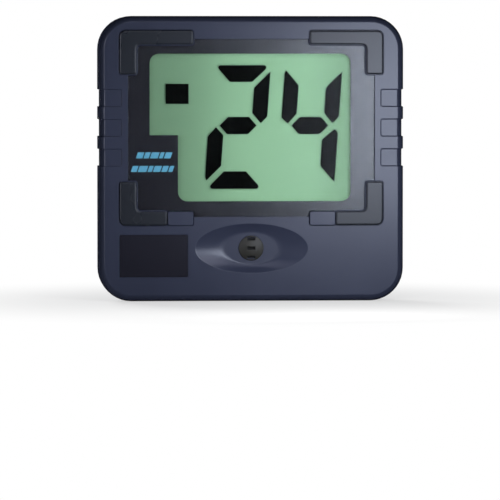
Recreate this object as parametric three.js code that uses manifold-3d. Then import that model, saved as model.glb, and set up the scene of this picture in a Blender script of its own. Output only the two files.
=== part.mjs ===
// Shot clock: a battery-powered two-digit display unit that stands on a table or screws onto a tripod.
// Sizes are in millimetres. The pieces are laid out in the panel's own frame, as someone facing the clock sees it:
// X to the right, Y up from the underside, Z towards the viewer with Z = 0 on the flat front face.
// The exported group stands the panel up: its +Z is up, and the front looks along -Y.

import * as THREE from "three";
import { mergeVertices } from "three/addons/utils/BufferGeometryUtils.js";
import Module from "manifold-3d";

const wasm = await Module();
wasm.setup();

// Driving dimensions of the case
const caseWidth = 314.6;
const caseHeight = 293.2;
const caseCornerRadius = 34;
const rearCoverDepth = 15;
const sideWall = 3.4;
const frontWall = 3;
const backWall = 2.6;
const shoulderRadius = 10.8;
const shoulderStartAngle = THREE.MathUtils.degToRad(25);

// Driving dimensions of the front panel
const padSideMargin = 21.6;
const padTopMargin = 14.9;
const padBottomMargin = 78.1;
const padProud = 2.2;
const padArmAcross = 17.6;
const padArmHigh = 14.5;
const padReachAcross = 75.9;
const padReachUp = 45;
const keyLength = 26.5;

// Driving dimensions of the display
const lensInsetAcross = 9;
const lensInsetUp = 9;
const lensSink = 0.8;
const lensThickness = 2;
const maskThickness = 0.4;
const windowSideMargin = 23.25;
const windowTopMargin = 14.8;
const windowBottomMargin = 15.7;
const windowShift = -1.25;
const glassMargin = 3.5;
const glassThickness = 1.4;

// Driving dimensions of the inside
const boardThickness = 1.6;
const interiorRoom = 11.6; // between the circuit board and the battery well
const cellLength = 50.5;
const cellRadius = 7.25;
const cellPitch = 15.1;
const cellCount = 4;
const cellDoorGap = 0.5;
const doorThickness = 3;
const wellWall = 2;

// Clearances
const fit = 0.3; // between pieces that seat on each other
const slideClearance = 0.4; // between a moving piece and the hole it runs in
const threadClearance = 0.15; // between a screw and its pilot hole
const overrun = 1; // how far every cutter runs past the face it cuts

// Round stretches
const caseCornerSteps = 10;
const cornerSteps = 6;
const smallCornerSteps = 3;
const holeSides = 16;
const bossSides = 20;

// Depths of the display stack, from the face inwards
const lensFront = -lensSink;
const lensBack = lensFront - lensThickness;
const maskFront = lensBack - fit;
const maskBack = maskFront - maskThickness;
const ledgeFront = maskBack - fit;
const ledgeThickness = 2.6;
const ledgeBack = ledgeFront - ledgeThickness;
const frontGlassFront = maskBack - fit;
const frontGlassBack = frontGlassFront - glassThickness;
const segmentThickness = 0.3;
const segmentFront = frontGlassBack - fit;
const segmentBack = segmentFront - segmentThickness;
const rearGlassFront = segmentBack - fit;
const rearGlassBack = rearGlassFront - glassThickness;
const reflectorThickness = 0.4;
const reflectorFront = rearGlassBack - fit;
const reflectorBack = reflectorFront - reflectorThickness;
const trayFloorThickness = 1.5;
const trayFloorFront = reflectorBack - fit;
const trayBack = trayFloorFront - trayFloorThickness;
const trayLegLength = 2.2;
const boardFront = trayBack - trayLegLength - fit;
const boardBack = boardFront - boardThickness;

// Depth of the case: the display stack, the room behind the board, the battery well and its door
const batteryDepth = doorThickness + cellDoorGap + 2 * cellRadius + fit + wellWall;
const caseDepth = -boardBack + interiorRoom + batteryDepth;
const frontCoverDepth = caseDepth - rearCoverDepth;

// Materials, in the colours of the real finishes
function finish(color, roughness, metalness = 0) {
  return new THREE.MeshStandardMaterial({ color, roughness, metalness });
}
const navyPlastic = finish(0x373d4f, 0.42);
const padPlastic = finish(0x33383f, 0.55);
const blackPlastic = finish(0x15161a, 0.5);
const blackInk = finish(0x17181d, 0.35);
const clearAcrylic = finish(0xdfe6ea, 0.08);
clearAcrylic.transparent = true;
clearAcrylic.opacity = 0.18;
const displayGlass = finish(0xcfe3d6, 0.1);
displayGlass.transparent = true;
displayGlass.opacity = 0.15;
const reflectorFoil = finish(0x8fbf9b, 0.6);
const liquidCrystal = finish(0x060807, 0.5);
const greenLaminate = finish(0x1f5a3a, 0.5);
const siliconeRubber = finish(0x9a9fa6, 0.8);
const blackRubber = finish(0x1b1b1d, 0.85);
const glossLabel = finish(0x12121b, 0.15);
const brass = finish(0xb08d4a, 0.35, 1);
const steel = finish(0xa9adb2, 0.35, 1);
const nickel = finish(0xc4c6c6, 0.25, 1);
const cellWrap = finish(0x27324d, 0.35);
const redWire = finish(0xa3201d, 0.5);
const blackWire = finish(0x161616, 0.5);

// Solids

// Turns a closed three.js geometry into a solid that can be joined and cut.
function solid(geometry) {
  const loose = geometry.index ? geometry.toNonIndexed() : geometry;
  const bare = new THREE.BufferGeometry().setAttribute("position", loose.getAttribute("position"));
  const closed = mergeVertices(bare);
  return new wasm.Manifold(
    new wasm.Mesh({
      numProp: 3,
      vertProperties: closed.getAttribute("position").array,
      triVerts: new Uint32Array(closed.index.array),
    }),
  );
}

// Turns a solid back into a geometry with flat-shaded faces.
function geometryOf(body) {
  const mesh = body.getMesh();
  const geometry = new THREE.BufferGeometry();
  geometry.setAttribute("position", new THREE.BufferAttribute(new Float32Array(mesh.vertProperties), 3));
  geometry.setIndex(new THREE.BufferAttribute(new Uint32Array(mesh.triVerts), 1));
  const faceted = geometry.toNonIndexed();
  faceted.computeVertexNormals();
  return faceted;
}

function join(...bodies) {
  return bodies.reduce((sum, body) => sum.add(body));
}

function cut(body, ...cutters) {
  return cutters.reduce((rest, cutter) => rest.subtract(cutter), body);
}

// A block between two limits on each axis.
function block([left, right], [bottom, top], [back, front]) {
  const geometry = new THREE.BoxGeometry(right - left, top - bottom, front - back);
  geometry.translate((left + right) / 2, (bottom + top) / 2, (back + front) / 2);
  return solid(geometry);
}

// A round bar along one axis, from one station to another, centred on the two other coordinates in X, Y, Z order.
function bar(axis, radius, [from, to], [first, second], sides = holeSides) {
  const geometry = new THREE.CylinderGeometry(radius, radius, to - from, sides);
  const middle = (from + to) / 2;
  if (axis === "x") geometry.rotateZ(-Math.PI / 2).translate(middle, first, second);
  if (axis === "y") geometry.translate(first, middle, second);
  if (axis === "z") geometry.rotateX(Math.PI / 2).translate(first, second, middle);
  return solid(geometry);
}

// An outline whose corners are listed as [x, y, radius]; a corner without a radius stays sharp.
function roundedOutline(corners, steps = smallCornerSteps) {
  return corners.flatMap(([x, y, radius = 0], index) => {
    const corner = new THREE.Vector2(x, y);
    if (radius === 0) return [corner];
    const [beforeX, beforeY] = corners.at(index - 1);
    const [afterX, afterY] = corners[(index + 1) % corners.length];
    const before = new THREE.Vector2(beforeX, beforeY).sub(corner).normalize();
    const after = new THREE.Vector2(afterX, afterY).sub(corner).normalize();
    const halfAngle = before.angleTo(after) / 2;
    const bisector = before.clone().add(after).normalize();
    const centre = corner.clone().addScaledVector(bisector, radius / Math.sin(halfAngle));
    const start = corner.clone().addScaledVector(before, radius / Math.tan(halfAngle));
    const sweep = (Math.PI - 2 * halfAngle) * Math.sign(after.cross(before));
    const arc = [];
    for (let step = 0; step <= steps; step += 1) {
      arc.push(start.clone().rotateAround(centre, (sweep * step) / steps));
    }
    return arc;
  });
}

// The corners of an upright rectangle, anticlockwise from the lower left.
function rectangle([left, right], [bottom, top], radius = 0) {
  return [
    [left, bottom, radius],
    [right, bottom, radius],
    [right, top, radius],
    [left, top, radius],
  ];
}

// A plate: an outline extruded between two depths, with optional holes and an optional eased front edge.
function plate(outline, [back, front], { holes = [], ease = 0, easeSteps = 2 } = {}) {
  const shape = new THREE.Shape(outline);
  shape.holes = holes.map((hole) => new THREE.Path(hole));
  const geometry = new THREE.ExtrudeGeometry(shape, {
    depth: front - back - 2 * ease,
    bevelEnabled: ease > 0,
    bevelThickness: ease,
    bevelSize: ease,
    bevelOffset: -ease,
    bevelSegments: easeSteps,
    steps: 1,
  });
  geometry.translate(0, 0, back + ease);
  return solid(geometry);
}

// A solid through a stack of outlines with equal numbers of points, listed from back to front.
function stack(rings) {
  const count = rings[0].outline.length;
  const positions = rings.flatMap(({ outline, z }) => outline.flatMap(({ x, y }) => [x, y, z]));
  const faces = [];
  for (let ring = 0; ring + 1 < rings.length; ring += 1) {
    for (let point = 0; point < count; point += 1) {
      const next = (point + 1) % count;
      const [low, high] = [ring * count, (ring + 1) * count];
      faces.push(low + point, low + next, high + next);
      faces.push(low + point, high + next, high + point);
    }
  }
  const last = (rings.length - 1) * count;
  for (const [a, b, c] of THREE.ShapeUtils.triangulateShape(rings[0].outline, [])) {
    faces.push(a, c, b);
  }
  for (const [a, b, c] of THREE.ShapeUtils.triangulateShape(rings.at(-1).outline, [])) {
    faces.push(last + a, last + b, last + c);
  }
  const geometry = new THREE.BufferGeometry();
  geometry.setAttribute("position", new THREE.Float32BufferAttribute(positions, 3));
  geometry.setIndex(faces);
  return solid(geometry);
}

// A turned piece: its profile of [radius, station] points runs up its axis, which is laid along an axis of the panel.
function turned(profile, axis = "z", sides = bossSides) {
  const geometry = new THREE.LatheGeometry(
    profile.map(([radius, station]) => new THREE.Vector2(radius, station)),
    sides,
  );
  if (axis === "x") geometry.rotateZ(-Math.PI / 2);
  if (axis === "z") geometry.rotateX(Math.PI / 2);
  return solid(geometry);
}

// A round wire along a smooth curve through its points.
function wire(points, radius, steps) {
  const path = new THREE.CatmullRomCurve3(points.map(([x, y, z]) => new THREE.Vector3(x, y, z)));
  const section = new THREE.Shape().absarc(0, 0, radius, 0, 2 * Math.PI);
  const wireSides = 8;
  const round = new THREE.Shape(section.getSpacedPoints(wireSides).slice(0, wireSides));
  return solid(new THREE.ExtrudeGeometry(round, { steps, bevelEnabled: false, extrudePath: path }));
}

// Scene graph: one group for what is fixed in the case, and one for each piece that moves
const clock = new THREE.Group();
const panel = new THREE.Group();
clock.rotation.x = Math.PI / 2;
panel.position.z = (caseDepth - padProud) / 2;
clock.add(panel);
const fixed = new THREE.Group();
panel.add(fixed);

function addPiece(name, body, material, { at = [0, 0, 0], group = fixed } = {}) {
  const mesh = new THREE.Mesh(geometryOf(body), material);
  mesh.name = name;
  mesh.position.set(...at);
  group.add(mesh);
}

function addMovingGroup() {
  const group = new THREE.Group();
  panel.add(group);
  return group;
}

// Case form: a rounded rectangle whose front edge turns over a shoulder that starts with a crease at the face.
// The skin can be set in from the sides and from the face, for the hollow and for the grip notches.
const shoulderSteps = 6;
const shoulderDrop = shoulderRadius * Math.cos(shoulderStartAngle);

function caseOutline(inset) {
  return roundedOutline(
    rectangle(
      [-caseWidth / 2 + inset, caseWidth / 2 - inset],
      [inset, caseHeight - inset],
      caseCornerRadius - inset,
    ),
    caseCornerSteps,
  );
}

// Rings of the shoulder from the side wall to the face. The arc is drawn in by the side inset at the side wall,
// and by an amount that brings it down by the face drop at the crease.
function shoulderRings(sideInset, faceDrop) {
  const creaseInset = faceDrop / Math.cos(shoulderStartAngle);
  const rings = [];
  for (let step = 0; step <= shoulderSteps; step += 1) {
    const along = step / shoulderSteps;
    const angle = THREE.MathUtils.lerp(Math.PI / 2, shoulderStartAngle, along);
    const radius = shoulderRadius - THREE.MathUtils.lerp(sideInset, creaseInset, along);
    rings.push({
      inset: shoulderRadius - radius * Math.sin(angle),
      depth: shoulderDrop - radius * Math.cos(angle),
    });
  }
  return rings;
}

// The front half of the case form, from a back plane to the face.
function frontForm(sideInset, faceDrop, back) {
  const rings = shoulderRings(sideInset, faceDrop).map(({ inset, depth }) => ({
    outline: caseOutline(inset),
    z: -depth,
  }));
  return stack([{ outline: caseOutline(sideInset), z: back }, ...rings]);
}

// The rear half, from the back face to a front plane. Its shoulder is the front one turned over.
function rearForm(sideInset, faceDrop, front) {
  const rings = shoulderRings(sideInset, faceDrop)
    .map(({ inset, depth }) => ({ outline: caseOutline(inset), z: depth - caseDepth }))
    .reverse();
  return stack([...rings, { outline: caseOutline(sideInset), z: front }]);
}

const partingZ = -frontCoverDepth;
const rearCoverFront = partingZ - fit;
const innerSide = caseWidth / 2 - sideWall;
const caseBack = -caseDepth;

// Grip notches: three shallow places on each side, sunk into the side wall and, less deeply, into the face
const gripCount = 3;
const gripHeight = 17.6;
const gripPitch = 30.6;
const gripTopFromCaseTop = 75.3;
const gripReach = 23.8;
const gripSideDepth = 1.7;
const gripFaceDepth = 1.2;
const gripCornerRadius = 1.6;

function gripCutter(body) {
  const cutters = [];
  for (let index = 0; index < gripCount; index += 1) {
    const top = caseHeight - gripTopFromCaseTop - index * gripPitch;
    for (const side of [-1, 1]) {
      const inner = side * (caseWidth / 2 - gripReach);
      const outer = side * (caseWidth / 2 + overrun);
      const outline = roundedOutline([
        [inner, top - gripHeight, gripCornerRadius],
        [outer, top - gripHeight],
        [outer, top],
        [inner, top, gripCornerRadius],
      ]);
      cutters.push(cut(plate(outline, [caseBack - overrun, overrun]), body));
    }
  }
  return join(...cutters);
}

const gripForm = join(
  frontForm(gripSideDepth, gripFaceDepth, caseBack / 2),
  rearForm(gripSideDepth, gripFaceDepth, caseBack / 2),
);
const gripNotches = gripCutter(gripForm);

// Layout of the pads, the lens and the window
const padFieldLeft = -caseWidth / 2 + padSideMargin;
const padFieldRight = caseWidth / 2 - padSideMargin;
const padFieldBottom = padBottomMargin;
const padFieldTop = caseHeight - padTopMargin;

const lensLeft = padFieldLeft + lensInsetAcross;
const lensRight = padFieldRight - lensInsetAcross;
const lensBottom = padFieldBottom + lensInsetUp;
const lensTop = padFieldTop - lensInsetUp;

const windowLeft = lensLeft + windowSideMargin + windowShift;
const windowRight = lensRight - windowSideMargin + windowShift;
const windowBottom = lensBottom + windowBottomMargin;
const windowTop = lensTop - windowTopMargin;
const windowWidth = windowRight - windowLeft;
const windowHeight = windowTop - windowBottom;
const windowCentreY = (windowBottom + windowTop) / 2;

// Keys: the inner ends of the two lower pads. Each slides in a hole, with a lip inside that stops it coming out.
const keyEdgeRadius = 2;
const keyEase = 0.7;
const keySeam = 0.4;
const keyLipReach = 1.5;
const keyLipThickness = 1.5;
const keyBottom = padFieldBottom;
const keyTop = padFieldBottom + padArmHigh;
const keyLipFront = ledgeBack - fit;
const keyBack = keyLipFront - keyLipThickness;
const keys = [
  { name: "left_key", left: padFieldLeft + padReachAcross - keyLength, right: padFieldLeft + padReachAcross },
  { name: "right_key", left: padFieldRight - padReachAcross, right: padFieldRight - padReachAcross + keyLength },
];

for (const key of keys) {
  const cap = plate(
    roundedOutline(rectangle([key.left, key.right], [keyBottom, keyTop], keyEdgeRadius)),
    [keyBack, padProud],
    { ease: keyEase },
  );
  const lip = block(
    [key.left - keyLipReach, key.right + keyLipReach],
    [keyBottom, keyTop],
    [keyBack, keyLipFront],
  );
  addPiece(key.name, join(cap, lip), navyPlastic, { group: addMovingGroup() });
}

function keyHoles() {
  const holes = keys.map((key) =>
    plate(
      roundedOutline(
        rectangle(
          [key.left - slideClearance, key.right + slideClearance],
          [keyBottom - slideClearance, keyTop + slideClearance],
          keyEdgeRadius + slideClearance,
        ),
      ),
      [ledgeBack - overrun, padProud],
    ),
  );
  return join(...holes);
}

// The wall round each key hole is thickened to the depth of the display ledge, so that the key is guided along it.
const keyBossMargin = 3.5;
function keyBosses() {
  const bosses = keys.map((key) =>
    block(
      [key.left - keyBossMargin, key.right + keyBossMargin],
      [keyBottom - keyBossMargin, keyTop + slideClearance],
      [ledgeBack, -frontWall + overrun],
    ),
  );
  return join(...bosses);
}

// Key domes: silicone cups on the board that push the keys back out
const domeBaseRadius = 5.5;
const domeTopRadius = 3;
const domeRimHeight = 0.6;
const domeWall = 0.8;
const domeFront = keyBack - fit;
const domeBack = boardFront + fit;

for (const key of keys) {
  const profile = [
    [0, domeFront],
    [domeTopRadius, domeFront],
    [domeBaseRadius - domeWall, domeBack + domeRimHeight],
    [domeBaseRadius, domeBack + domeRimHeight],
    [domeBaseRadius, domeBack],
    [domeBaseRadius - 2 * domeWall, domeBack],
    [domeTopRadius - domeWall, domeFront - domeWall],
    [0, domeFront - domeWall],
  ].reverse();
  addPiece(key.name + "_dome", turned(profile), siliconeRubber, {
    at: [(key.left + key.right) / 2, (keyBottom + keyTop) / 2, 0],
  });
}

// Corner pads: L-shaped pieces that stand where the lens's corners are cut away, and are staked to the cover
// outside its edge. The two lower ones stop short of the keys.
const padOuterRadius = 6;
const padInnerRadius = 4.5;
const padEndRadius = 2.2;
const padEase = 1.5;
const padGroove = 0.7;
const padLensGap = 0.7;
const padBack = lensFront + fit;
const padPegRadius = 1.8;
const padPegHeadRadius = 2.7;
const padPegHeadThickness = 0.9;
const padPegEndInset = 8;

// Corners of a pad: reach and arms run from the field's corner inwards, and the outline can be grown by a margin.
function padCorners(cornerX, cornerY, inX, inY, reachAcross, margin) {
  const x = (distance) => cornerX + inX * distance;
  const y = (distance) => cornerY + inY * distance;
  const endRadius = padEndRadius + margin;
  return [
    [x(-margin), y(-margin), padOuterRadius + margin],
    [x(reachAcross + margin), y(-margin), endRadius],
    [x(reachAcross + margin), y(padArmHigh + margin), endRadius],
    [x(padArmAcross + margin), y(padArmHigh + margin), padInnerRadius - margin],
    [x(padArmAcross + margin), y(padReachUp + margin), endRadius],
    [x(-margin), y(padReachUp + margin), endRadius],
  ];
}

const lowerPadReach = padReachAcross - keyLength - keySeam;
const pads = [
  { name: "pad_top_left", cornerX: padFieldLeft, cornerY: padFieldTop, inX: 1, inY: -1, reach: padReachAcross },
  { name: "pad_top_right", cornerX: padFieldRight, cornerY: padFieldTop, inX: -1, inY: -1, reach: padReachAcross },
  { name: "pad_bottom_left", cornerX: padFieldLeft, cornerY: padFieldBottom, inX: 1, inY: 1, reach: lowerPadReach },
  { name: "pad_bottom_right", cornerX: padFieldRight, cornerY: padFieldBottom, inX: -1, inY: 1, reach: lowerPadReach },
];

// Each pad has a peg near the end of each arm, in the middle of the strip outside the lens.
function padPegs({ cornerX, cornerY, inX, inY, reach }) {
  return [
    [cornerX + inX * (reach - padPegEndInset), cornerY + (inY * lensInsetUp) / 2],
    [cornerX + (inX * lensInsetAcross) / 2, cornerY + inY * (padReachUp - padPegEndInset)],
  ];
}

for (const pad of pads) {
  const outline = roundedOutline(padCorners(pad.cornerX, pad.cornerY, pad.inX, pad.inY, pad.reach, 0));
  const body = plate(outline, [padBack, padProud], { ease: padEase });
  const pegs = padPegs(pad).map((centre) =>
    join(
      bar("z", padPegRadius, [ledgeBack - fit - padPegHeadThickness, padBack + padEase], centre),
      bar("z", padPegHeadRadius, [ledgeBack - fit - padPegHeadThickness, ledgeBack - fit], centre),
    ),
  );
  addPiece(pad.name, join(body, ...pegs), padPlastic);
}

// The four pads' outlines grown by a margin, over a stretch of depth.
function padForms(margin, depths) {
  const forms = pads.map((pad) =>
    plate(
      roundedOutline(padCorners(pad.cornerX, pad.cornerY, pad.inX, pad.inY, pad.reach, margin)),
      depths,
    ),
  );
  return join(...forms);
}

function padPockets() {
  const pegHoles = pads.flatMap((pad) =>
    padPegs(pad).map((centre) => bar("z", padPegRadius + fit, [ledgeBack - overrun, overrun], centre)),
  );
  return join(padForms(padGroove, [lensFront, overrun]), ...pegHoles);
}

// Lens: a clear sheet let into the face, with two notches in its lower edge that leave room for the keys, and
// its corners cut away round the pads. The mask behind it has the same outline. The well in the cover is that
// outline with a clearance, and stops at the pads' seats. Its notches are the narrower ones, so that nothing is
// left standing between the well and the key holes.
const lensCornerRadius = 3;

function lensCorners(clearance) {
  const left = lensLeft - clearance;
  const right = lensRight + clearance;
  const bottom = lensBottom - clearance;
  const top = lensTop + clearance;
  const notchMargin = slideClearance + fit - 2 * clearance;
  const notchRadius = keyEdgeRadius + notchMargin;
  const notchTop = keyTop + notchMargin;
  const notches = keys.flatMap((key) => [
    [key.left - notchMargin, bottom],
    [key.left - notchMargin, notchTop, notchRadius],
    [key.right + notchMargin, notchTop, notchRadius],
    [key.right + notchMargin, bottom],
  ]);
  return [
    [left, bottom, lensCornerRadius],
    ...notches,
    [right, bottom, lensCornerRadius],
    [right, top, lensCornerRadius],
    [left, top, lensCornerRadius],
  ];
}

const aroundPads = padForms(padGroove + padLensGap, [ledgeFront - overrun, overrun]);
const lensWell = cut(
  plate(roundedOutline(lensCorners(fit)), [ledgeFront, overrun]),
  padForms(padGroove, [ledgeFront - overrun, lensFront]),
);
addPiece(
  "display_lens",
  cut(plate(roundedOutline(lensCorners(0)), [lensBack, lensFront]), aroundPads),
  clearAcrylic,
);

// Mask: a black sheet with the display's L-shaped window, whose lower left corner is blocked out for a caption
const windowRadius = 9.7;
const windowNotchWidthShare = 0.141;
const windowNotchHeightShare = 0.449;
const windowNotchRight = windowLeft + windowNotchWidthShare * windowWidth;
const windowNotchTop = windowBottom + windowNotchHeightShare * windowHeight;
const windowOutline = roundedOutline(
  [
    [windowLeft, windowNotchTop],
    [windowNotchRight, windowNotchTop],
    [windowNotchRight, windowBottom, windowRadius],
    [windowRight, windowBottom, windowRadius],
    [windowRight, windowTop, windowRadius],
    [windowLeft, windowTop, windowRadius],
  ],
  cornerSteps,
);
addPiece(
  "display_mask",
  cut(plate(roundedOutline(lensCorners(0)), [maskBack, maskFront], { holes: [windowOutline] }), aroundPads),
  blackInk,
);

// Display glass: a front sheet and a shorter rear sheet with the segments between them, and a reflector behind.
// Rubber contact strips stand on the board above and below the rear sheet and meet the front one.
const stripWidth = 2.4;
const glassLeft = windowLeft - glassMargin;
const glassRight = windowRight + glassMargin;
const glassBottom = windowBottom - glassMargin;
const glassTop = windowTop + glassMargin;
const stripZone = stripWidth + 2 * fit;
const glassAcross = [glassLeft, glassRight];
const rearGlassUp = [glassBottom + stripZone, glassTop - stripZone];

addPiece("front_glass", block(glassAcross, [glassBottom, glassTop], [frontGlassBack, frontGlassFront]), displayGlass);
addPiece("rear_glass", block(glassAcross, rearGlassUp, [rearGlassBack, rearGlassFront]), displayGlass);
addPiece("reflector", block(glassAcross, rearGlassUp, [reflectorBack, reflectorFront]), reflectorFoil);

const stripEndMargin = 6;
const stripAcross = [glassLeft + stripEndMargin, glassRight - stripEndMargin];
const stripDepth = [boardFront + fit, frontGlassBack - fit];
const lowerStripUp = [glassBottom + fit, glassBottom + fit + stripWidth];
const upperStripUp = [glassTop - fit - stripWidth, glassTop - fit];
addPiece("contact_strip_bottom", block(stripAcross, lowerStripUp, stripDepth), blackRubber);
addPiece("contact_strip_top", block(stripAcross, upperStripUp, stripDepth), blackRubber);

// Segments: two slanted seven-segment digits that read 24, and a square status block.
// Each outline is drawn upright for the digit's upper right quarter or half, in shares of the digit's width and
// height from its centre, and is turned over where it is used elsewhere.
const digitMarginUp = 12.35;
const digitHeight = windowHeight - 2 * digitMarginUp;
const digitWidthShare = 0.2895;
const digitWidth = digitWidthShare * windowWidth;
const digitPitchShare = 0.358;
const tensCentreShare = 0.438;
const digitRise = 0.5;
const digitSlant = Math.tan(THREE.MathUtils.degToRad(4));
const barTipRadius = 2.4;
const topBarShares = [
  [-0.454, 0.5, barTipRadius],
  [0.486, 0.5, barTipRadius],
  [0.199, 0.365],
  [-0.184, 0.365],
];
const bottomBarShares = [
  [-0.454, 0.5, barTipRadius],
  [0.486, 0.5, barTipRadius],
  [0.199, 0.359],
  [-0.184, 0.359],
];
const middleBarShares = [
  [-0.31, 0.012],
  [-0.173, 0.082],
  [0.187, 0.082],
  [0.327, 0.012],
  [0.187, -0.058],
  [-0.173, -0.058],
];
const upperRightPostShares = [
  [0.5, 0.449],
  [0.239, 0.3165],
  [0.239, 0.1126],
  [0.396, 0.03],
  [0.5, 0.085],
];
const upperLeftPostShares = [
  [0.489, 0.4346],
  [0.466, 0.4583],
  [0.232, 0.337],
  [0.232, 0.107],
  [0.377, 0.0283],
  [0.489, 0.0756],
];
const lowerLeftPostShares = [
  [0.4975, 0.4016],
  [0.4725, 0.433],
  [0.2355, 0.3142],
  [0.2338, 0.0654],
  [0.3706, 0],
  [0.5, 0.0756],
];
const lowerRightPostShares = [
  [0.5, 0.447],
  [0.2355, 0.3142],
  [0.2338, 0.1024],
  [0.4407, 0.015],
  [0.5025, 0.0496],
];

function segment(shares, flipX, flipY, digitCentreX) {
  const corners = shares.map(([acrossShare, upShare, radius]) => {
    const up = flipY * upShare * digitHeight;
    const across = flipX * acrossShare * digitWidth;
    return [digitCentreX + across + digitSlant * up, windowCentreY + digitRise + up, radius];
  });
  return plate(roundedOutline(corners), [segmentBack, segmentFront]);
}

const tensCentreX = windowLeft + tensCentreShare * windowWidth;
const unitsCentreX = tensCentreX + digitPitchShare * windowWidth;
const segments = [
  ["tens_top_bar", topBarShares, 1, 1, tensCentreX],
  ["tens_upper_right_bar", upperRightPostShares, 1, 1, tensCentreX],
  ["tens_middle_bar", middleBarShares, 1, 1, tensCentreX],
  ["tens_lower_left_bar", lowerLeftPostShares, -1, -1, tensCentreX],
  ["tens_bottom_bar", bottomBarShares, 1, -1, tensCentreX],
  ["units_upper_left_bar", upperLeftPostShares, -1, 1, unitsCentreX],
  ["units_upper_right_bar", upperRightPostShares, 1, 1, unitsCentreX],
  ["units_middle_bar", middleBarShares, 1, 1, unitsCentreX],
  ["units_lower_right_bar", lowerRightPostShares, 1, -1, unitsCentreX],
];
for (const [name, shares, flipX, flipY, centre] of segments) {
  addPiece(name, segment(shares, flipX, flipY, centre), liquidCrystal);
}

const blockLeftShare = 0.0803;
const blockWidthShare = 0.1142;
const blockBottomShare = 0.6603;
const blockHeightShare = 0.1358;
const statusLeft = windowLeft + blockLeftShare * windowWidth;
const statusBottom = windowBottom + blockBottomShare * windowHeight;
addPiece(
  "status_block",
  block(
    [statusLeft, statusLeft + blockWidthShare * windowWidth],
    [statusBottom, statusBottom + blockHeightShare * windowHeight],
    [segmentBack, segmentFront],
  ),
  liquidCrystal,
);

// Display tray: holds the glass in a shallow box and stands on the board on four legs
const trayWall = 1.5;
const trayFront = maskBack - fit;
const trayLeft = glassLeft - fit - trayWall;
const trayRight = glassRight + fit + trayWall;
const trayBottom = glassBottom - fit - trayWall;
const trayTop = glassTop + fit + trayWall;
const trayLegRadius = 2.5;
const trayLegInset = 14;
const trayLegs = [trayLeft + trayLegInset, trayRight - trayLegInset].flatMap((x) =>
  [trayBottom + trayLegInset, trayTop - trayLegInset].map((y) =>
    bar("z", trayLegRadius, [trayBack - trayLegLength, trayBack + trayFloorThickness / 2], [x, y]),
  ),
);
const trayStripSlots = [lowerStripUp, upperStripUp].map(([bottom, top]) =>
  block(
    [stripAcross[0] - fit, stripAcross[1] + fit],
    [bottom - fit, top + fit],
    [trayBack - overrun, trayFloorFront + overrun],
  ),
);
addPiece(
  "display_tray",
  join(
    cut(
      block([trayLeft, trayRight], [trayBottom, trayTop], [trayBack, trayFront]),
      block([glassLeft - fit, glassRight + fit], [glassBottom - fit, glassTop + fit], [trayFloorFront, overrun]),
      ...trayStripSlots,
    ),
    ...trayLegs,
  ),
  blackPlastic,
);

// Main board: behind the tray and the keys, with a tail at the lower right that carries the switch and the socket
const boardSideMargin = 1;
const boardTopMargin = 5;
const boardKeyMargin = 1.9;
const boardTailSideGap = 6;
const boardTailWidth = 77;
const boardTailBottomShare = 0.46;
const boardLeft = trayLeft - boardSideMargin;
const boardRight = trayRight + boardSideMargin;
const boardBottom = padFieldBottom - boardKeyMargin;
const boardTop = trayTop + boardTopMargin;
const tailRight = innerSide - boardTailSideGap;
const tailLeft = tailRight - boardTailWidth;
const tailBottom = boardTailBottomShare * padBottomMargin;
const tailTop = boardBottom + padArmHigh;

const boardScrewRadius = 1.4;
const boardScrewHeadRadius = 2.8;
const boardScrewHeadThickness = 1.8;
const boardScrewLength = 5;
const boardScrewInset = 7.5;
const boardScrewHeight = boardBottom + boardScrewInset;
const boardScrewPlaces = [
  { name: "board_screw_left", x: boardLeft + boardScrewInset },
  { name: "board_screw_right", x: boardRight - boardScrewInset },
];

addPiece(
  "main_board",
  cut(
    join(
      block([boardLeft, boardRight], [boardBottom, boardTop], [boardBack, boardFront]),
      block([tailLeft, tailRight], [tailBottom, tailTop], [boardBack, boardFront]),
    ),
    ...boardScrewPlaces.map(({ x }) =>
      bar("z", boardScrewRadius + fit, [boardBack - overrun, boardFront + overrun], [x, boardScrewHeight]),
    ),
  ),
  greenLaminate,
);

// A pan-head screw that points towards the viewer: head behind, shank in front, with a cross recess in the head.
const recessWidthShare = 0.28;
const recessLengthShare = 1.3;
const recessDepthShare = 0.5;
const headFlatShare = 0.8;
const headRimShare = 0.6;
function panScrew(shankRadius, headRadius, headThickness, shankLength, sides = holeSides) {
  const shape = turned(
    [
      [0, -headThickness],
      [headFlatShare * headRadius, -headThickness],
      [headRadius, -headRimShare * headThickness],
      [headRadius, 0],
      [shankRadius, 0],
      [shankRadius, shankLength - shankRadius],
      [shankRadius / 2, shankLength],
      [0, shankLength],
    ],
    "z",
    sides,
  );
  const halfWidth = (recessWidthShare * headRadius) / 2;
  const halfLength = (recessLengthShare * headRadius) / 2;
  const depth = [-headThickness - overrun, -headThickness * (1 - recessDepthShare)];
  return cut(
    shape,
    block([-halfWidth, halfWidth], [-halfLength, halfLength], depth),
    block([-halfLength, halfLength], [-halfWidth, halfWidth], depth),
  );
}

for (const { name, x } of boardScrewPlaces) {
  const screw = panScrew(boardScrewRadius, boardScrewHeadRadius, boardScrewHeadThickness, boardScrewLength);
  addPiece(name, screw, steel, { at: [x, boardScrewHeight, boardBack - fit] });
}

// Parts on the back of the board
const chipSide = 14;
const chipThickness = 1.6;
const chipRiseShare = 0.62;
const chipCentreY = boardBottom + chipRiseShare * (boardTop - boardBottom);
const partsBack = boardBack - fit;
addPiece(
  "controller_chip",
  block([-chipSide / 2, chipSide / 2], [-chipSide / 2, chipSide / 2], [-chipThickness, 0]),
  blackPlastic,
  { at: [boardLeft / 2, chipCentreY, partsBack] },
);

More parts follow.
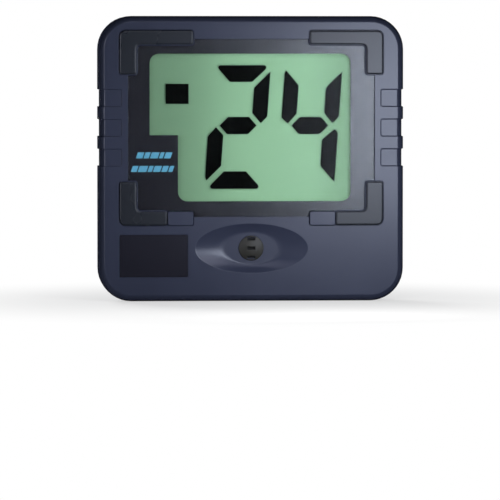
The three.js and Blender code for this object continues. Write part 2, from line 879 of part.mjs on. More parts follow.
const crystalLength = 11;
const crystalWidth = 4.6;
const crystalThickness = 3.4;
const crystalEndRadiusShare = 0.45;
addPiece(
  "crystal",
  plate(
    roundedOutline(
      rectangle(
        [-crystalLength / 2, crystalLength / 2],
        [-crystalWidth / 2, crystalWidth / 2],
        crystalEndRadiusShare * crystalWidth,
      ),
    ),
    [-crystalThickness, 0],
  ),
  nickel,
  { at: [boardLeft / 2, chipCentreY + chipSide, partsBack] },
);

const capacitorRadius = 4;
const capacitorLength = 8;
addPiece(
  "capacitor",
  turned([
    [0, -capacitorLength],
    [capacitorRadius, -capacitorLength],
    [capacitorRadius, 0],
    [0, 0],
  ]),
  blackPlastic,
  { at: [boardLeft / 2 - chipSide, chipCentreY - chipSide, partsBack] },
);

// Horn: an oval dish in the face with a slotted cap at its bottom, and a piezo sounder behind it
const dishWidth = 116.3;
const dishHeightShare = 0.65;
const dishDepth = 7;
const dishWall = 2.4;
const dishFloorWidthShare = 0.456;
const dishFloorHeightShare = 0.625;
const dishWallPower = 1.25;
const dishSteps = 4;
const dishSides = 64;
const hornRiseShare = 0.698;
const dishHeight = dishHeightShare * padBottomMargin;
const hornX = 0;
const hornY = hornRiseShare * padBottomMargin;

function ellipse(halfAcross, halfUp) {
  const points = [];
  for (let side = 0; side < dishSides; side += 1) {
    const angle = (2 * Math.PI * side) / dishSides;
    points.push(new THREE.Vector2(hornX + halfAcross * Math.cos(angle), hornY + halfUp * Math.sin(angle)));
  }
  return points;
}

// The dish's wall is slightly concave: it is a little steeper at the rim than at the floor.
function dishForm(thickness, front) {
  const rings = [];
  for (let step = 0; step <= dishSteps; step += 1) {
    const out = step / dishSteps;
    const across = (dishWidth / 2) * (dishFloorWidthShare + (1 - dishFloorWidthShare) * out);
    const up = (dishHeight / 2) * (dishFloorHeightShare + (1 - dishFloorHeightShare) * out);
    rings.push({
      outline: ellipse(across + thickness, up + thickness),
      z: -dishDepth - thickness + dishDepth * out ** dishWallPower,
    });
  }
  rings.push({ outline: rings.at(-1).outline, z: front });
  return stack(rings);
}

const dishFloor = -dishDepth;
const dishBack = dishFloor - dishWall;
const capRadius = 12.9;
const capSkirtRadius = 10.6;
const capWall = 1.4;
const capRimThickness = 1.6;
const capCrown = 1.5;
const capRimShare = 0.6;
const capEdgeShare = 0.94;
const capCrownAcrossShare = 0.5;
const capCrownDropShare = 0.25;
const capSides = 24;
const capSlotWidth = 8.2;
const capSlotHeight = 3.4;
const capSlotPitchShare = 0.75;
const capSlotDepth = 4;
const capFront = dishFloor + fit + capRimThickness + capCrown;
const capBody = turned(
  [
    [0, capFront - capWall],
    [capSkirtRadius - capWall, dishFloor + fit + capRimThickness - capWall],
    [capSkirtRadius - capWall, dishBack + fit],
    [capSkirtRadius, dishBack + fit],
    [capSkirtRadius, dishFloor + fit],
    [capRadius, dishFloor + fit],
    [capRadius, dishFloor + fit + capRimShare * capRimThickness],
    [capEdgeShare * capRadius, dishFloor + fit + capRimThickness],
    [capCrownAcrossShare * capRadius, capFront - capCrownDropShare * capCrown],
    [0, capFront],
  ],
  "z",
  capSides,
);
const capSlots = [-1, 0, 1].map((place) => {
  const middle = place * capSlotPitchShare * capRadius;
  return block(
    [-capSlotWidth / 2, capSlotWidth / 2],
    [middle - capSlotHeight / 2, middle + capSlotHeight / 2],
    [capFront - capSlotDepth, capFront + overrun],
  );
});
addPiece("horn_cap", cut(capBody, ...capSlots), blackPlastic, { at: [hornX, hornY, 0] });

const housingRadius = 15;
const housingWall = 1.5;
const housingDepth = 8;
const collarWall = 2;
const collarDepth = 7;
const gasketThickness = 1;
const gasketWidth = 2.4;
const discThickness = 0.5;
const gasketFront = dishBack - fit;
const gasketBack = gasketFront - gasketThickness;
const housingFront = gasketBack - fit;
const housingBack = housingFront - housingDepth;
const housingHoleRadius = 3;

// The gasket has a thin skin across its middle, which keeps rain off the sounder.
const gasketSkin = 0.4;
addPiece(
  "horn_gasket",
  turned([
    [0, gasketFront - gasketSkin],
    [housingRadius - gasketWidth, gasketFront - gasketSkin],
    [housingRadius - gasketWidth, gasketBack],
    [housingRadius, gasketBack],
    [housingRadius, gasketFront],
    [0, gasketFront],
  ]),
  blackRubber,
  { at: [hornX, hornY, 0] },
);
const discBack = housingFront - housingWall - discThickness;
const discShelf = 1.2;
addPiece(
  "horn_housing",
  turned([
    [housingHoleRadius, housingBack],
    [housingRadius, housingBack],
    [housingRadius, housingFront],
    [housingRadius - housingWall, housingFront],
    [housingRadius - housingWall, discBack - fit],
    [housingRadius - housingWall - discShelf, discBack - fit],
    [housingRadius - housingWall - discShelf, housingBack + housingWall],
    [housingHoleRadius, housingBack + housingWall],
    [housingHoleRadius, housingBack],
  ]),
  blackPlastic,
  { at: [hornX, hornY, 0] },
);
addPiece(
  "horn_disc",
  turned([
    [0, discBack],
    [housingRadius - housingWall - fit, discBack],
    [housingRadius - housingWall - fit, discBack + discThickness],
    [0, discBack + discThickness],
  ]),
  brass,
  { at: [hornX, hornY, 0] },
);

// The back of the dish's floor is a flat ring that the gasket seats on, inside a collar that holds the sounder.
function hornCollar() {
  const outer = housingRadius + fit + collarWall;
  const collar = bar("z", outer, [gasketFront - collarDepth, dishFloor - fit], [hornX, hornY], bossSides);
  return cut(
    collar,
    bar("z", housingRadius + fit, [gasketFront - collarDepth - overrun, dishBack], [hornX, hornY], bossSides),
  );
}

// Label plate: a bare black plate in a shallow recess at the lower left
const labelSideMargin = 21.7;
const labelBottom = 25.2;
const labelPadGap = 9.6;
const labelDishGap = 7.5;
const labelThickness = 0.6;
const labelRecess = 0.8;
const labelRadius = 1;
const labelLeft = -caseWidth / 2 + labelSideMargin;
const labelRight = hornX - dishWidth / 2 - labelDishGap;
const labelTop = padFieldBottom - labelPadGap;
addPiece(
  "label_plate",
  plate(roundedOutline(rectangle([labelLeft, labelRight], [labelBottom, labelTop], labelRadius)), [
    -labelRecess + fit / 2,
    -labelRecess + fit / 2 + labelThickness,
  ]),
  glossLabel,
);
const labelPocket = block(
  [labelLeft - fit, labelRight + fit],
  [labelBottom - fit, labelTop + fit],
  [-labelRecess, overrun],
);

// Case screws: four, driven from the back through posts in the rear cover into bosses in the front one
const screwInset = 22;
const screwRadius = 2;
const screwHeadRadius = 3.8;
const screwHeadThickness = 2.6;
const screwBite = 12;
const bossRadius = 5.5;
const counterboreDepth = 8;
const screwSeat = caseBack + counterboreDepth;
const screwPlaces = [
  { name: "case_screw_bottom_left", x: -caseWidth / 2 + screwInset, y: screwInset },
  { name: "case_screw_bottom_right", x: caseWidth / 2 - screwInset, y: screwInset },
  { name: "case_screw_top_left", x: -caseWidth / 2 + screwInset, y: caseHeight - screwInset },
  { name: "case_screw_top_right", x: caseWidth / 2 - screwInset, y: caseHeight - screwInset },
];
const screwFront = partingZ + screwBite;
for (const { name, x, y } of screwPlaces) {
  const seat = screwSeat - fit;
  addPiece(name, panScrew(screwRadius, screwHeadRadius, screwHeadThickness, screwFront - seat), steel, {
    at: [x, y, seat],
  });
}

// Tripod bush: a brass bush with a 1/4-20 thread, drawn as a plain bore at the thread's outside diameter.
// It is pushed down through a boss in the case's underside until its hexagonal flange seats.
const bushBoreRadius = 3.25;
const bushRadius = 5.5;
const bushFlangeRadius = 8.5;
const bushFlangeThickness = 2.6;
const bushSeat = 12;
const bushBossRadius = 10.5;
const bushPocketDepth = 1.6;
const bushZ = partingZ / 2 - shoulderDrop / 2;
const bushBottom = fit;
const bushHexSides = 6;
addPiece(
  "tripod_bush",
  cut(
    join(
      bar("y", bushRadius, [bushBottom, bushSeat + fit + bushFlangeThickness], [0, bushZ], bossSides),
      bar(
        "y",
        bushFlangeRadius,
        [bushSeat + fit, bushSeat + fit + bushFlangeThickness],
        [0, bushZ],
        bushHexSides,
      ),
    ),
    bar("y", bushBoreRadius, [-overrun, bushSeat + bushFlangeThickness + overrun], [0, bushZ], bossSides),
  ),
  brass,
);

// Hand-control socket: stands on the board's tail, with its barrel in the right-hand side wall
const jackBarrelRadius = 3.2;
const jackBoreRadius = 1.85;
const jackBodyLength = 14;
const jackBodyWidth = 8.4;
const jackBodyThickness = 7;
const jackBoreDepth = 13;
const jackRise = 10;
const jackY = tailBottom + jackRise;
const jackZ = boardBack - fit - jackBodyThickness / 2;
const jackFace = innerSide - fit;
const caseSide = caseWidth / 2;
addPiece(
  "jack_socket",
  cut(
    join(
      block(
        [jackFace - jackBodyLength, jackFace],
        [jackY - jackBodyWidth / 2, jackY + jackBodyWidth / 2],
        [jackZ - jackBodyThickness / 2, jackZ + jackBodyThickness / 2],
      ),
      bar("x", jackBarrelRadius, [jackFace - overrun, caseSide - fit], [jackY, jackZ]),
    ),
    bar("x", jackBoreRadius, [caseSide - jackBoreDepth, caseSide + overrun], [jackY, jackZ]),
  ),
  blackPlastic,
);

// Power switch: a slide switch on the board's tail. Its knob runs in a slot at the bottom of a shallow side recess.
const switchTravel = 4;
const knobLength = 9;
const knobWidth = 7;
const knobRecess = 1.7;
const knobThickness = 1.2;
const knobRidgeCount = 3;
const knobRidgeDepth = 0.4;
const knobRidgeWidth = 0.8;
const knobRidgePitch = 2.2;
const knobStem = 3;
const knobRise = 17;
const switchLength = 13;
const switchWidth = 8;
const switchThickness = 7;
const switchSetback = 2.5;
const switchSlotDepth = 3;
const leverGrip = 2.5;
const knobY = jackY + knobRise;
const knobZ = boardBack - fit - switchThickness / 2;
const switchFace = innerSide - switchSetback;
const knobFace = caseSide - fit;
const knobBack = caseSide - knobRecess + fit;
// The knob rests at the upper end of its travel, where the clock is on.
const knobSlotUp = [
  knobY - knobStem / 2 - switchTravel - slideClearance,
  knobY + knobStem / 2 + slideClearance,
];
const knobRecessUp = [
  knobY - knobLength / 2 - switchTravel - slideClearance,
  knobY + knobLength / 2 + slideClearance,
];
const knobRidges = [];
for (let ridge = 0; ridge < knobRidgeCount; ridge += 1) {
  const middle = knobY + (ridge - (knobRidgeCount - 1) / 2) * knobRidgePitch;
  knobRidges.push(
    block(
      [knobFace - knobRidgeDepth, knobFace + overrun],
      [middle - knobRidgeWidth / 2, middle + knobRidgeWidth / 2],
      [knobZ - knobWidth, knobZ + knobWidth],
    ),
  );
}
addPiece(
  "power_knob",
  cut(
    join(
      block(
        [knobBack, knobFace],
        [knobY - knobLength / 2, knobY + knobLength / 2],
        [knobZ - knobWidth / 2, knobZ + knobWidth / 2],
      ),
      block(
        [switchFace - leverGrip, knobFace - knobThickness / 2],
        [knobY - knobStem / 2, knobY + knobStem / 2],
        [knobZ - knobStem / 2, knobZ + knobStem / 2],
      ),
    ),
    ...knobRidges,
  ),
  blackPlastic,
  { group: addMovingGroup() },
);
const switchMiddle = knobY - switchTravel / 2;
addPiece(
  "power_switch",
  cut(
    block(
      [switchFace - switchWidth, switchFace],
      [switchMiddle - switchLength / 2, switchMiddle + switchLength / 2],
      [knobZ - switchThickness / 2, knobZ + switchThickness / 2],
    ),
    block(
      [switchFace - switchSlotDepth, switchFace + overrun],
      knobSlotUp,
      [knobZ - knobStem / 2 - slideClearance, knobZ + knobStem / 2 + slideClearance],
    ),
  ),
  steel,
);
const knobCutters = join(
  block(
    [caseSide - knobRecess, caseSide + overrun],
    knobRecessUp,
    [knobZ - knobWidth / 2 - slideClearance, knobZ + knobWidth / 2 + slideClearance],
  ),
  block(
    [innerSide - overrun, caseSide + overrun],
    knobSlotUp,
    [knobZ - knobStem / 2 - slideClearance, knobZ + knobStem / 2 + slideClearance],
  ),
);

// Front cover: a shell with the well, pockets, dish and holes above, and the bosses that carry the inside
const hookWidth = 12;
const hookPost = 3;
const hookLip = 2;
const hookThickness = 2;
const hookSpacingShare = 0.55;
const rimMargin = 2;

function boardHooks() {
  const hooks = [-1, 1].map((side) => {
    const middle = side * hookSpacingShare * boardRight;
    const across = [middle - hookWidth / 2, middle + hookWidth / 2];
    const hookBack = boardBack - fit - hookThickness;
    return join(
      block(across, [boardTop + fit, boardTop + fit + hookPost], [hookBack, ledgeBack + overrun]),
      block(across, [boardTop - hookLip, boardTop + fit + hookPost], [hookBack, boardBack - fit]),
    );
  });
  return join(...hooks);
}

const throughWindow = block(
  [trayLeft - 2 * fit, trayRight + 2 * fit],
  [trayBottom - 2 * fit, trayTop + 2 * fit],
  [ledgeBack - overrun, overrun],
);
const displayRim = plate(
  roundedOutline(
    rectangle(
      [padFieldLeft - rimMargin, padFieldRight + rimMargin],
      [padFieldBottom - rimMargin, padFieldTop + rimMargin],
      padOuterRadius,
    ),
  ),
  [ledgeBack, -frontWall + overrun],
);
const frontBosses = screwPlaces.map(({ x, y }) =>
  bar("z", bossRadius, [partingZ, -frontWall + overrun], [x, y], bossSides),
);
const boardBosses = boardScrewPlaces.map(({ x }) =>
  bar("z", boardScrewHeadRadius + overrun / 2, [boardFront + fit, ledgeBack + overrun], [x, boardScrewHeight]),
);
const bushBoss = cut(
  bar("y", bushBossRadius, [sideWall / 2, bushSeat + bushPocketDepth], [0, bushZ], bossSides),
  block(
    [-bushBossRadius - overrun, bushBossRadius + overrun],
    [0, bushSeat + bushPocketDepth + overrun],
    [bushZ - bushBossRadius - overrun, partingZ],
  ),
);
const bushPocket = bar(
  "y",
  bushFlangeRadius + fit,
  [bushSeat, bushSeat + bushPocketDepth + overrun],
  [0, bushZ],
  bushHexSides,
);
const frontShell = cut(
  frontForm(0, 0, partingZ),
  frontForm(sideWall, frontWall, partingZ - overrun),
);
const screwPilots = screwPlaces.map(({ x, y }) =>
  bar("z", screwRadius + threadClearance, [partingZ - overrun, screwFront + overrun], [x, y]),
);
const boardPilots = boardScrewPlaces.map(({ x }) =>
  bar(
    "z",
    boardScrewRadius + threadClearance,
    [boardFront, boardBack - fit + boardScrewLength + overrun / 2],
    [x, boardScrewHeight],
  ),
);
addPiece(
  "front_cover",
  cut(
    join(
      frontShell,
      displayRim,
      keyBosses(),
      dishForm(dishWall, -frontWall + overrun),
      hornCollar(),
      ...frontBosses,
      ...boardBosses,
      boardHooks(),
      bushBoss,
    ),
    lensWell,
    throughWindow,
    padPockets(),
    keyHoles(),
    dishForm(0, overrun),
    bar("z", capSkirtRadius + fit, [dishBack - overrun, dishFloor + overrun], [hornX, hornY], bossSides),
    labelPocket,
    gripNotches,
    ...screwPilots,
    ...boardPilots,
    bar("y", bushRadius + fit, [-overrun, bushSeat + overrun], [0, bushZ], bossSides),
    bushPocket,
    bar("x", jackBarrelRadius + fit, [innerSide - overrun, caseSide + overrun], [jackY, jackZ]),
    knobCutters,
  ),
  navyPlastic,
);

// Battery compartment: four AA cells side by side, head to tail, in a well in the rear cover
const cellButtonRadius = 2.7;
const cellButtonLength = 1.3;
const cellFlatShare = 0.94;
const cellEdgeShare = 0.08;
const cellShoulderShare = 0.88;
const cellShoulderLengthShare = 0.12;
const contactRoom = 5.5;
const contactThickness = 0.5;
const wellCentreShare = 0.5;
const doorLedge = 4;
const doorGap = 0.4;
const wellCentreY = wellCentreShare * caseHeight;
const wellHalfAcross = cellLength / 2 + contactRoom;
const wellHalfUp = (cellCount * cellPitch) / 2 + fit;
const doorBack = caseBack;
const doorInner = doorBack + doorThickness;
const ledgeUnderDoor = doorInner + fit;
const cellZ = doorInner + cellDoorGap + cellRadius;
const wellFloor = cellZ + cellRadius + fit;
const wellFront = wellFloor + wellWall;
const doorHalfAcross = wellHalfAcross + doorLedge;
const doorHalfUp = wellHalfUp + doorLedge;
const cellY = (index) => wellCentreY + ((cellCount - 1) / 2 - index) * cellPitch;

const cellProfile = [
  [0, -cellLength / 2],
  [cellFlatShare * cellRadius, -cellLength / 2],
  [cellRadius, -cellLength / 2 + cellEdgeShare * cellRadius],
  [cellRadius, cellLength / 2 - cellButtonLength - cellShoulderLengthShare * cellRadius],
  [cellShoulderShare * cellRadius, cellLength / 2 - cellButtonLength],
  [cellButtonRadius, cellLength / 2 - cellButtonLength],
  [cellButtonRadius, cellLength / 2],
  [0, cellLength / 2],
];
for (let index = 0; index < cellCount; index += 1) {
  const headsRight = index % 2 === 0;
  const cell = turned(headsRight ? cellProfile : cellProfile.map(([r, s]) => [r, -s]).reverse(), "x");
  addPiece("battery_" + (index + 1), cell, cellWrap, { at: [0, cellY(index), cellZ] });
}

// Contacts: a plate at a cell's button and a plate with a cone spring at its flat end. Links join two cells.
const contactWidth = 11;
const contactHeight = 12;
const springBaseRadius = 4.2;
const springTipRadius = 2.4;
const contactTabWidth = 3;
const contactTabReach = 3;
const contactOut = wellHalfAcross - fit;

function contactPlate(side, indices) {
  const ys = indices.map(cellY);
  const from = side * contactOut;
  const to = side * (contactOut - contactThickness);
  return block(
    [Math.min(from, to), Math.max(from, to)],
    [Math.min(...ys) - contactWidth / 2, Math.max(...ys) + contactWidth / 2],
    [cellZ - contactHeight / 2, cellZ + contactHeight / 2],
  );
}

function contactSpring(side, index) {
  const base = contactOut - contactThickness / 2;
  const tip = cellLength / 2 + fit;
  const profile = [
    [0, tip],
    [springTipRadius, tip],
    [springBaseRadius, base],
    [0, base],
  ];
  const points = side > 0 ? profile : profile.map(([r, s]) => [r, -s]).reverse();
  return turned(points, "x", holeSides).translate([0, cellY(index), cellZ]);
}

// A stepped dimple brings the plate out to the cell's button.
function contactDimple(side, index) {
  const base = side * (contactOut - contactThickness / 2);
  const tip = side * (cellLength / 2 + fit);
  const reach = [Math.min(base, tip), Math.max(base, tip)];
  return bar("x", cellButtonRadius, reach, [cellY(index), cellZ]);
}

// The two end contacts have a tab that goes through the well's floor to a lead.
function contactTab(side, index) {
  const from = side * contactOut;
  const to = side * (contactOut - contactThickness);
  return block(
    [Math.min(from, to), Math.max(from, to)],
    [cellY(index) - contactTabWidth / 2, cellY(index) + contactTabWidth / 2],
    [cellZ, wellFront + contactTabReach],
  );
}

const [cellA, cellB, cellC, cellD] = [0, 1, 2, 3];
addPiece(
  "contact_negative",
  join(contactPlate(-1, [cellA]), contactSpring(-1, cellA), contactTab(-1, cellA)),
  nickel,
);
addPiece(
  "contact_positive",
  join(contactPlate(-1, [cellD]), contactDimple(-1, cellD), contactTab(-1, cellD)),
  nickel,
);
addPiece(
  "contact_link_left",
  join(contactPlate(-1, [cellB, cellC]), contactDimple(-1, cellB), contactSpring(-1, cellC)),
  nickel,
);
addPiece(
  "contact_link_upper_right",
  join(contactPlate(1, [cellA, cellB]), contactDimple(1, cellA), contactSpring(1, cellB)),
  nickel,
);
addPiece(
  "contact_link_lower_right",
  join(contactPlate(1, [cellC, cellD]), contactDimple(1, cellC), contactSpring(1, cellD)),
  nickel,
);

// Battery door: lies flush in the back and swings on two pins at its top edge, which is rounded about their axis
const doorAxisDepth = 1.8;
const doorPinRadius = 1;
const doorPinReach = 2.2;
const doorPinSides = 12;
const doorCornerRadius = 3;
const doorAxisZ = doorBack + doorAxisDepth;
const doorTop = wellCentreY + doorHalfUp;
const doorBottom = wellCentreY - doorHalfUp;
const doorAxisY = doorTop - doorAxisDepth;
const doorAcross = [-doorHalfAcross, doorHalfAcross];
const doorRibCount = 5;
const doorRibPitch = 3.2;
const doorRibWidth = 1.4;
const doorRibDepth = 0.6;
const doorRibHalfAcross = 13;
const doorRibRise = 7;

const doorGrooves = [];
for (let rib = 0; rib < doorRibCount; rib += 1) {
  const bottom = doorBottom + doorRibRise + rib * doorRibPitch;
  doorGrooves.push(
    block(
      [-doorRibHalfAcross, doorRibHalfAcross],
      [bottom, bottom + doorRibWidth],
      [doorBack - overrun, doorBack + doorRibDepth],
    ),
  );
}
const doorPlate = plate(
  roundedOutline([
    [-doorHalfAcross, doorBottom, doorCornerRadius],
    [doorHalfAcross, doorBottom, doorCornerRadius],
    [doorHalfAcross, doorAxisY],
    [-doorHalfAcross, doorAxisY],
  ]),
  [doorBack, doorInner],
);
const doorEdge = cut(
  bar("x", doorAxisDepth, doorAcross, [doorAxisY, doorAxisZ], bossSides),
  block(
    [-doorHalfAcross - overrun, doorHalfAcross + overrun],
    [doorBottom, doorTop + overrun],
    [doorInner, doorInner + doorThickness],
  ),
);
const doorPins = bar(
  "x",
  doorPinRadius,
  [-doorHalfAcross - doorPinReach, doorHalfAcross + doorPinReach],
  [doorAxisY, doorAxisZ],
  doorPinSides,
);
addPiece("battery_door", cut(join(doorPlate, doorEdge, doorPins), ...doorGrooves), navyPlastic, {
  group: addMovingGroup(),
});

// Rear cover: a shallow shell with the battery well, the screw posts and a finger scoop under the door
const scoopRadius = 9;
const scoopDepth = 1.8;
const wellBlockWall = 2.4;

const rearShell = cut(
  rearForm(0, 0, rearCoverFront),
  rearForm(sideWall, backWall, rearCoverFront + overrun),
);
const rearPosts = screwPlaces.map(({ x, y }) =>
  bar("z", bossRadius, [caseBack + backWall - overrun, rearCoverFront], [x, y], bossSides),
);
const rearScrewHoles = screwPlaces.flatMap(({ x, y }) => [
  bar("z", screwRadius + fit, [caseBack - overrun, rearCoverFront + overrun], [x, y]),
  bar("z", screwHeadRadius + fit, [caseBack - overrun, screwSeat], [x, y]),
]);
const doorFrame = block(
  [-doorHalfAcross - doorGap - wellBlockWall, doorHalfAcross + doorGap + wellBlockWall],
  [doorBottom - doorGap - wellBlockWall, doorTop + doorGap + wellBlockWall],
  [caseBack + backWall - overrun, ledgeUnderDoor + wellWall],
);
const wellBox = block(
  [-wellHalfAcross - wellWall, wellHalfAcross + wellWall],
  [wellCentreY - wellHalfUp - wellWall, wellCentreY + wellHalfUp + wellWall],
  [caseBack + backWall - overrun, wellFront],
);
const doorRebate = block(
  [-doorHalfAcross - doorGap, doorHalfAcross + doorGap],
  [doorBottom - doorGap, doorTop + doorGap],
  [caseBack - overrun, ledgeUnderDoor],
);
const doorEdgeGroove = bar(
  "x",
  doorAxisDepth + doorGap,
  [-doorHalfAcross - doorGap, doorHalfAcross + doorGap],
  [doorAxisY, doorAxisZ],
  bossSides,
);
const doorPinHoles = bar(
  "x",
  doorPinRadius + threadClearance,
  [-doorHalfAcross - doorPinReach - slideClearance, doorHalfAcross + doorPinReach + slideClearance],
  [doorAxisY, doorAxisZ],
  doorPinSides,
);
const wellHollow = block(
  [-wellHalfAcross, wellHalfAcross],
  [wellCentreY - wellHalfUp, wellCentreY + wellHalfUp],
  [caseBack - overrun, wellFloor],
);
const tabSlots = [cellA, cellD].map((index) =>
  block(
    [-wellHalfAcross, -wellHalfAcross + contactThickness + 2 * fit],
    [cellY(index) - contactTabWidth / 2 - fit, cellY(index) + contactTabWidth / 2 + fit],
    [wellFloor - overrun, wellFront + overrun],
  ),
);
const fingerScoop = bar(
  "z",
  scoopRadius,
  [caseBack - overrun, caseBack + scoopDepth],
  [0, doorBottom - doorGap],
  bossSides,
);
addPiece(
  "rear_cover",
  cut(
    join(rearShell, ...rearPosts, doorFrame, wellBox),
    doorRebate,
    doorEdgeGroove,
    doorPinHoles,
    wellHollow,
    ...tabSlots,
    fingerScoop,
    ...rearScrewHoles,
    gripNotches,
  ),
  navyPlastic,
);

// Leads: two from the battery contacts and one from the horn, each soldered to the back of the board
const leadRadius = 0.8;
const leadSteps = 24;
const leadSpread = 14;
const leadSlack = 6;
const tabX = -contactOut + contactThickness / 2;
const tabEnd = wellFront + contactTabReach + fit;
const solderZ = boardBack - fit;
const solderDrop = 30;

function batteryLead(index, spread) {
  const startY = cellY(index);
  const endX = tabX - leadSpread - spread;
  const endY = wellCentreY - wellHalfUp - solderDrop;
  return wire(
    [
      [tabX, startY, tabEnd],
      [tabX, startY, tabEnd + leadRadius],
      [tabX - leadSlack, startY - leadSlack / 2, (tabEnd + solderZ) / 2],
      [endX, (startY + endY) / 2, (tabEnd + solderZ) / 2],
      [endX, endY + leadSlack, (tabEnd + 2 * solderZ) / 3],
      [endX, endY, solderZ - leadRadius * 2],
      [endX, endY, solderZ],
    ],
    leadRadius,
    leadSteps,
  );
}
addPiece("battery_lead_black", batteryLead(cellA, leadSpread), blackWire);
addPiece("battery_lead_red", batteryLead(cellD, 0), redWire);

const hornLeadX = hornX;
const hornLeadRise = boardBottom + boardKeyMargin * 2;
addPiece(
  "horn_lead",
  wire(
    [
      [hornLeadX, hornY, discBack - 2 * fit],
      [hornLeadX, hornY, housingBack],
      [hornLeadX, hornY + leadSlack, housingBack - leadSlack / 2],
      [hornLeadX, hornLeadRise - leadSlack / 2, housingBack - leadSlack / 2],
      [hornLeadX, hornLeadRise, (housingBack + solderZ) / 2],
      [hornLeadX, hornLeadRise, solderZ],
    ],
    leadRadius,
    leadSteps,
  ),
  redWire,
);

export default clock;
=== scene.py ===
# The looks of a table-top shot clock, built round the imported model. All sizes are in metres.
# The display faces -Y, +X is to the right of someone who faces it, and the clock stands on Z = 0.

import math
import bmesh
import bpy
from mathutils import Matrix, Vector


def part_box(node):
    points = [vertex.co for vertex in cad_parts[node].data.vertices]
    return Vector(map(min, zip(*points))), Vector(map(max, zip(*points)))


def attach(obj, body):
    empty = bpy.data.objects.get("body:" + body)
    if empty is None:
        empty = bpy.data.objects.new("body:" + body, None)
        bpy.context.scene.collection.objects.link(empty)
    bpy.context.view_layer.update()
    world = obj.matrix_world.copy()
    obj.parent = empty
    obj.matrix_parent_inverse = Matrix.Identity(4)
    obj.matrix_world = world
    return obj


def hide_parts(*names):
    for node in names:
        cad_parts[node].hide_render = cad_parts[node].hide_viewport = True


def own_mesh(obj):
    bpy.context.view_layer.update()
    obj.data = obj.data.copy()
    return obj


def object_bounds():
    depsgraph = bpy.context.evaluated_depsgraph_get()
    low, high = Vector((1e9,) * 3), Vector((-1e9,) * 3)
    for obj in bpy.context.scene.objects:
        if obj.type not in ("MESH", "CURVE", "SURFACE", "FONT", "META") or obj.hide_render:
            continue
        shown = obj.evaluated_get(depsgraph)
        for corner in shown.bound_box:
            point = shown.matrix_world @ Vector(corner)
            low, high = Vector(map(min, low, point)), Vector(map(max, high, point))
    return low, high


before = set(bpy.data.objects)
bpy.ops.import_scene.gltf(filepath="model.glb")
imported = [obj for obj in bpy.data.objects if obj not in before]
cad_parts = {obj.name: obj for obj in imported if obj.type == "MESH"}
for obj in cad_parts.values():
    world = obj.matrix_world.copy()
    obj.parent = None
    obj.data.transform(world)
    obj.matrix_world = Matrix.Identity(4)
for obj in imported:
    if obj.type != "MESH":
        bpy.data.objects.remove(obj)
cad_low, cad_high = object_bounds()

# Case shells
# The clock's body is two injection-moulded shells in slate-blue plastic, with a satin skin and edges eased by the
# tool. The rear one is drawn against the front one by four screws from the back.
mm = 0.001
# Edges sharper than sharp_angle are rounded, and so are the shallow lips beside a broad flat face.
broad_flat = 600 * mm * mm
sharp_angle = math.radians(30)
lip_angle = math.radians(5)
same_plane = math.radians(0.5)
same_place = 0.001 * mm


def new_piece(name, bm, body):
    """An object from a finished mesh, riding on its body."""
    mesh = bpy.data.meshes.new(name)
    bm.to_mesh(mesh)
    bm.free()
    piece = bpy.data.objects.new(name, mesh)
    bpy.context.scene.collection.objects.link(piece)
    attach(piece, body)
    return piece


def eased_copy(node, body, width, broader=None):
    """A CAD node with smooth curved walls and its sharp edges rounded to width, riding on its body.

    broader tells, from the middle of an edge, whether it is rounded twice as wide.
    """
    bm = bmesh.new()
    bm.from_mesh(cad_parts[node].data)
    bmesh.ops.remove_doubles(bm, verts=bm.verts, dist=same_place)
    bmesh.ops.dissolve_limit(bm, angle_limit=same_plane, verts=bm.verts, edges=bm.edges)
    layers = bm.edges.layers.float
    layers.new("bevel_weight_edge")
    layers.new("wide_edge")
    for edge in bm.edges:
        beside_flat = max(face.calc_area() for face in edge.link_faces) > broad_flat
        angle = edge.calc_face_angle(0)
        rounded = angle > sharp_angle or (beside_flat and angle > lip_angle)
        wide = bool(broader and broader((edge.verts[0].co + edge.verts[1].co) / 2))
        edge[layers["bevel_weight_edge"]] = float(rounded and not wide)
        edge[layers["wide_edge"]] = float(rounded and wide)
    piece = new_piece(node + "_eased", bm, body)
    mesh = piece.data
    for name in ("custom_normal", "sharp_edge", "sharp_face"):
        if name in mesh.attributes:
            mesh.attributes.remove(mesh.attributes[name])
    mesh.shade_smooth()
    easings = [("bevel_weight_edge", width)]
    if broader:
        easings.insert(0, ("wide_edge", 2 * width))
    for attribute, rounding in easings:
        easing = piece.modifiers.new("Eased edges", "BEVEL")
        easing.width = rounding
        easing.segments = 2
        easing.limit_method = "WEIGHT"
        easing.edge_weight = attribute
        easing.use_clamp_overlap = False
        easing.loop_slide = False
    flats = piece.modifiers.new("Flat faces", "WEIGHTED_NORMAL")
    flats.keep_sharp = True
    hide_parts(node)
    return piece


def dress(piece, material):
    """Gives a new piece its one material."""
    piece.data.materials.clear()
    piece.data.materials.append(material)


def paint(material, *nodes):
    """Gives CAD nodes that stay as they are their material."""
    for node in nodes:
        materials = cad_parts[node].data.materials
        materials.clear()
        materials.append(material)


def join_nodes(tree, *links):
    """Joins sockets, each link written as (node, output name), (node, input name)."""
    for (source, out), (target, into) in links:
        tree.links.new(source.outputs[out], target.inputs[into])


def new_material(name):
    """A material, with its node tree and its shader."""
    material = bpy.data.materials.new(name)
    material.use_nodes = True
    tree = material.node_tree
    return material, tree, tree.nodes["Principled BSDF"]


def effect(name, inputs, outputs):
    """An empty shader node group with the sockets it lists, and its two end nodes."""
    group = bpy.data.node_groups.new(name, "ShaderNodeTree")
    for label, value in inputs:
        group.interface.new_socket(label, in_out="INPUT", socket_type="NodeSocketFloat").default_value = value
    for label in outputs:
        group.interface.new_socket(label, in_out="OUTPUT", socket_type="NodeSocketFloat")
    return group, group.nodes.new("NodeGroupInput"), group.nodes.new("NodeGroupOutput")


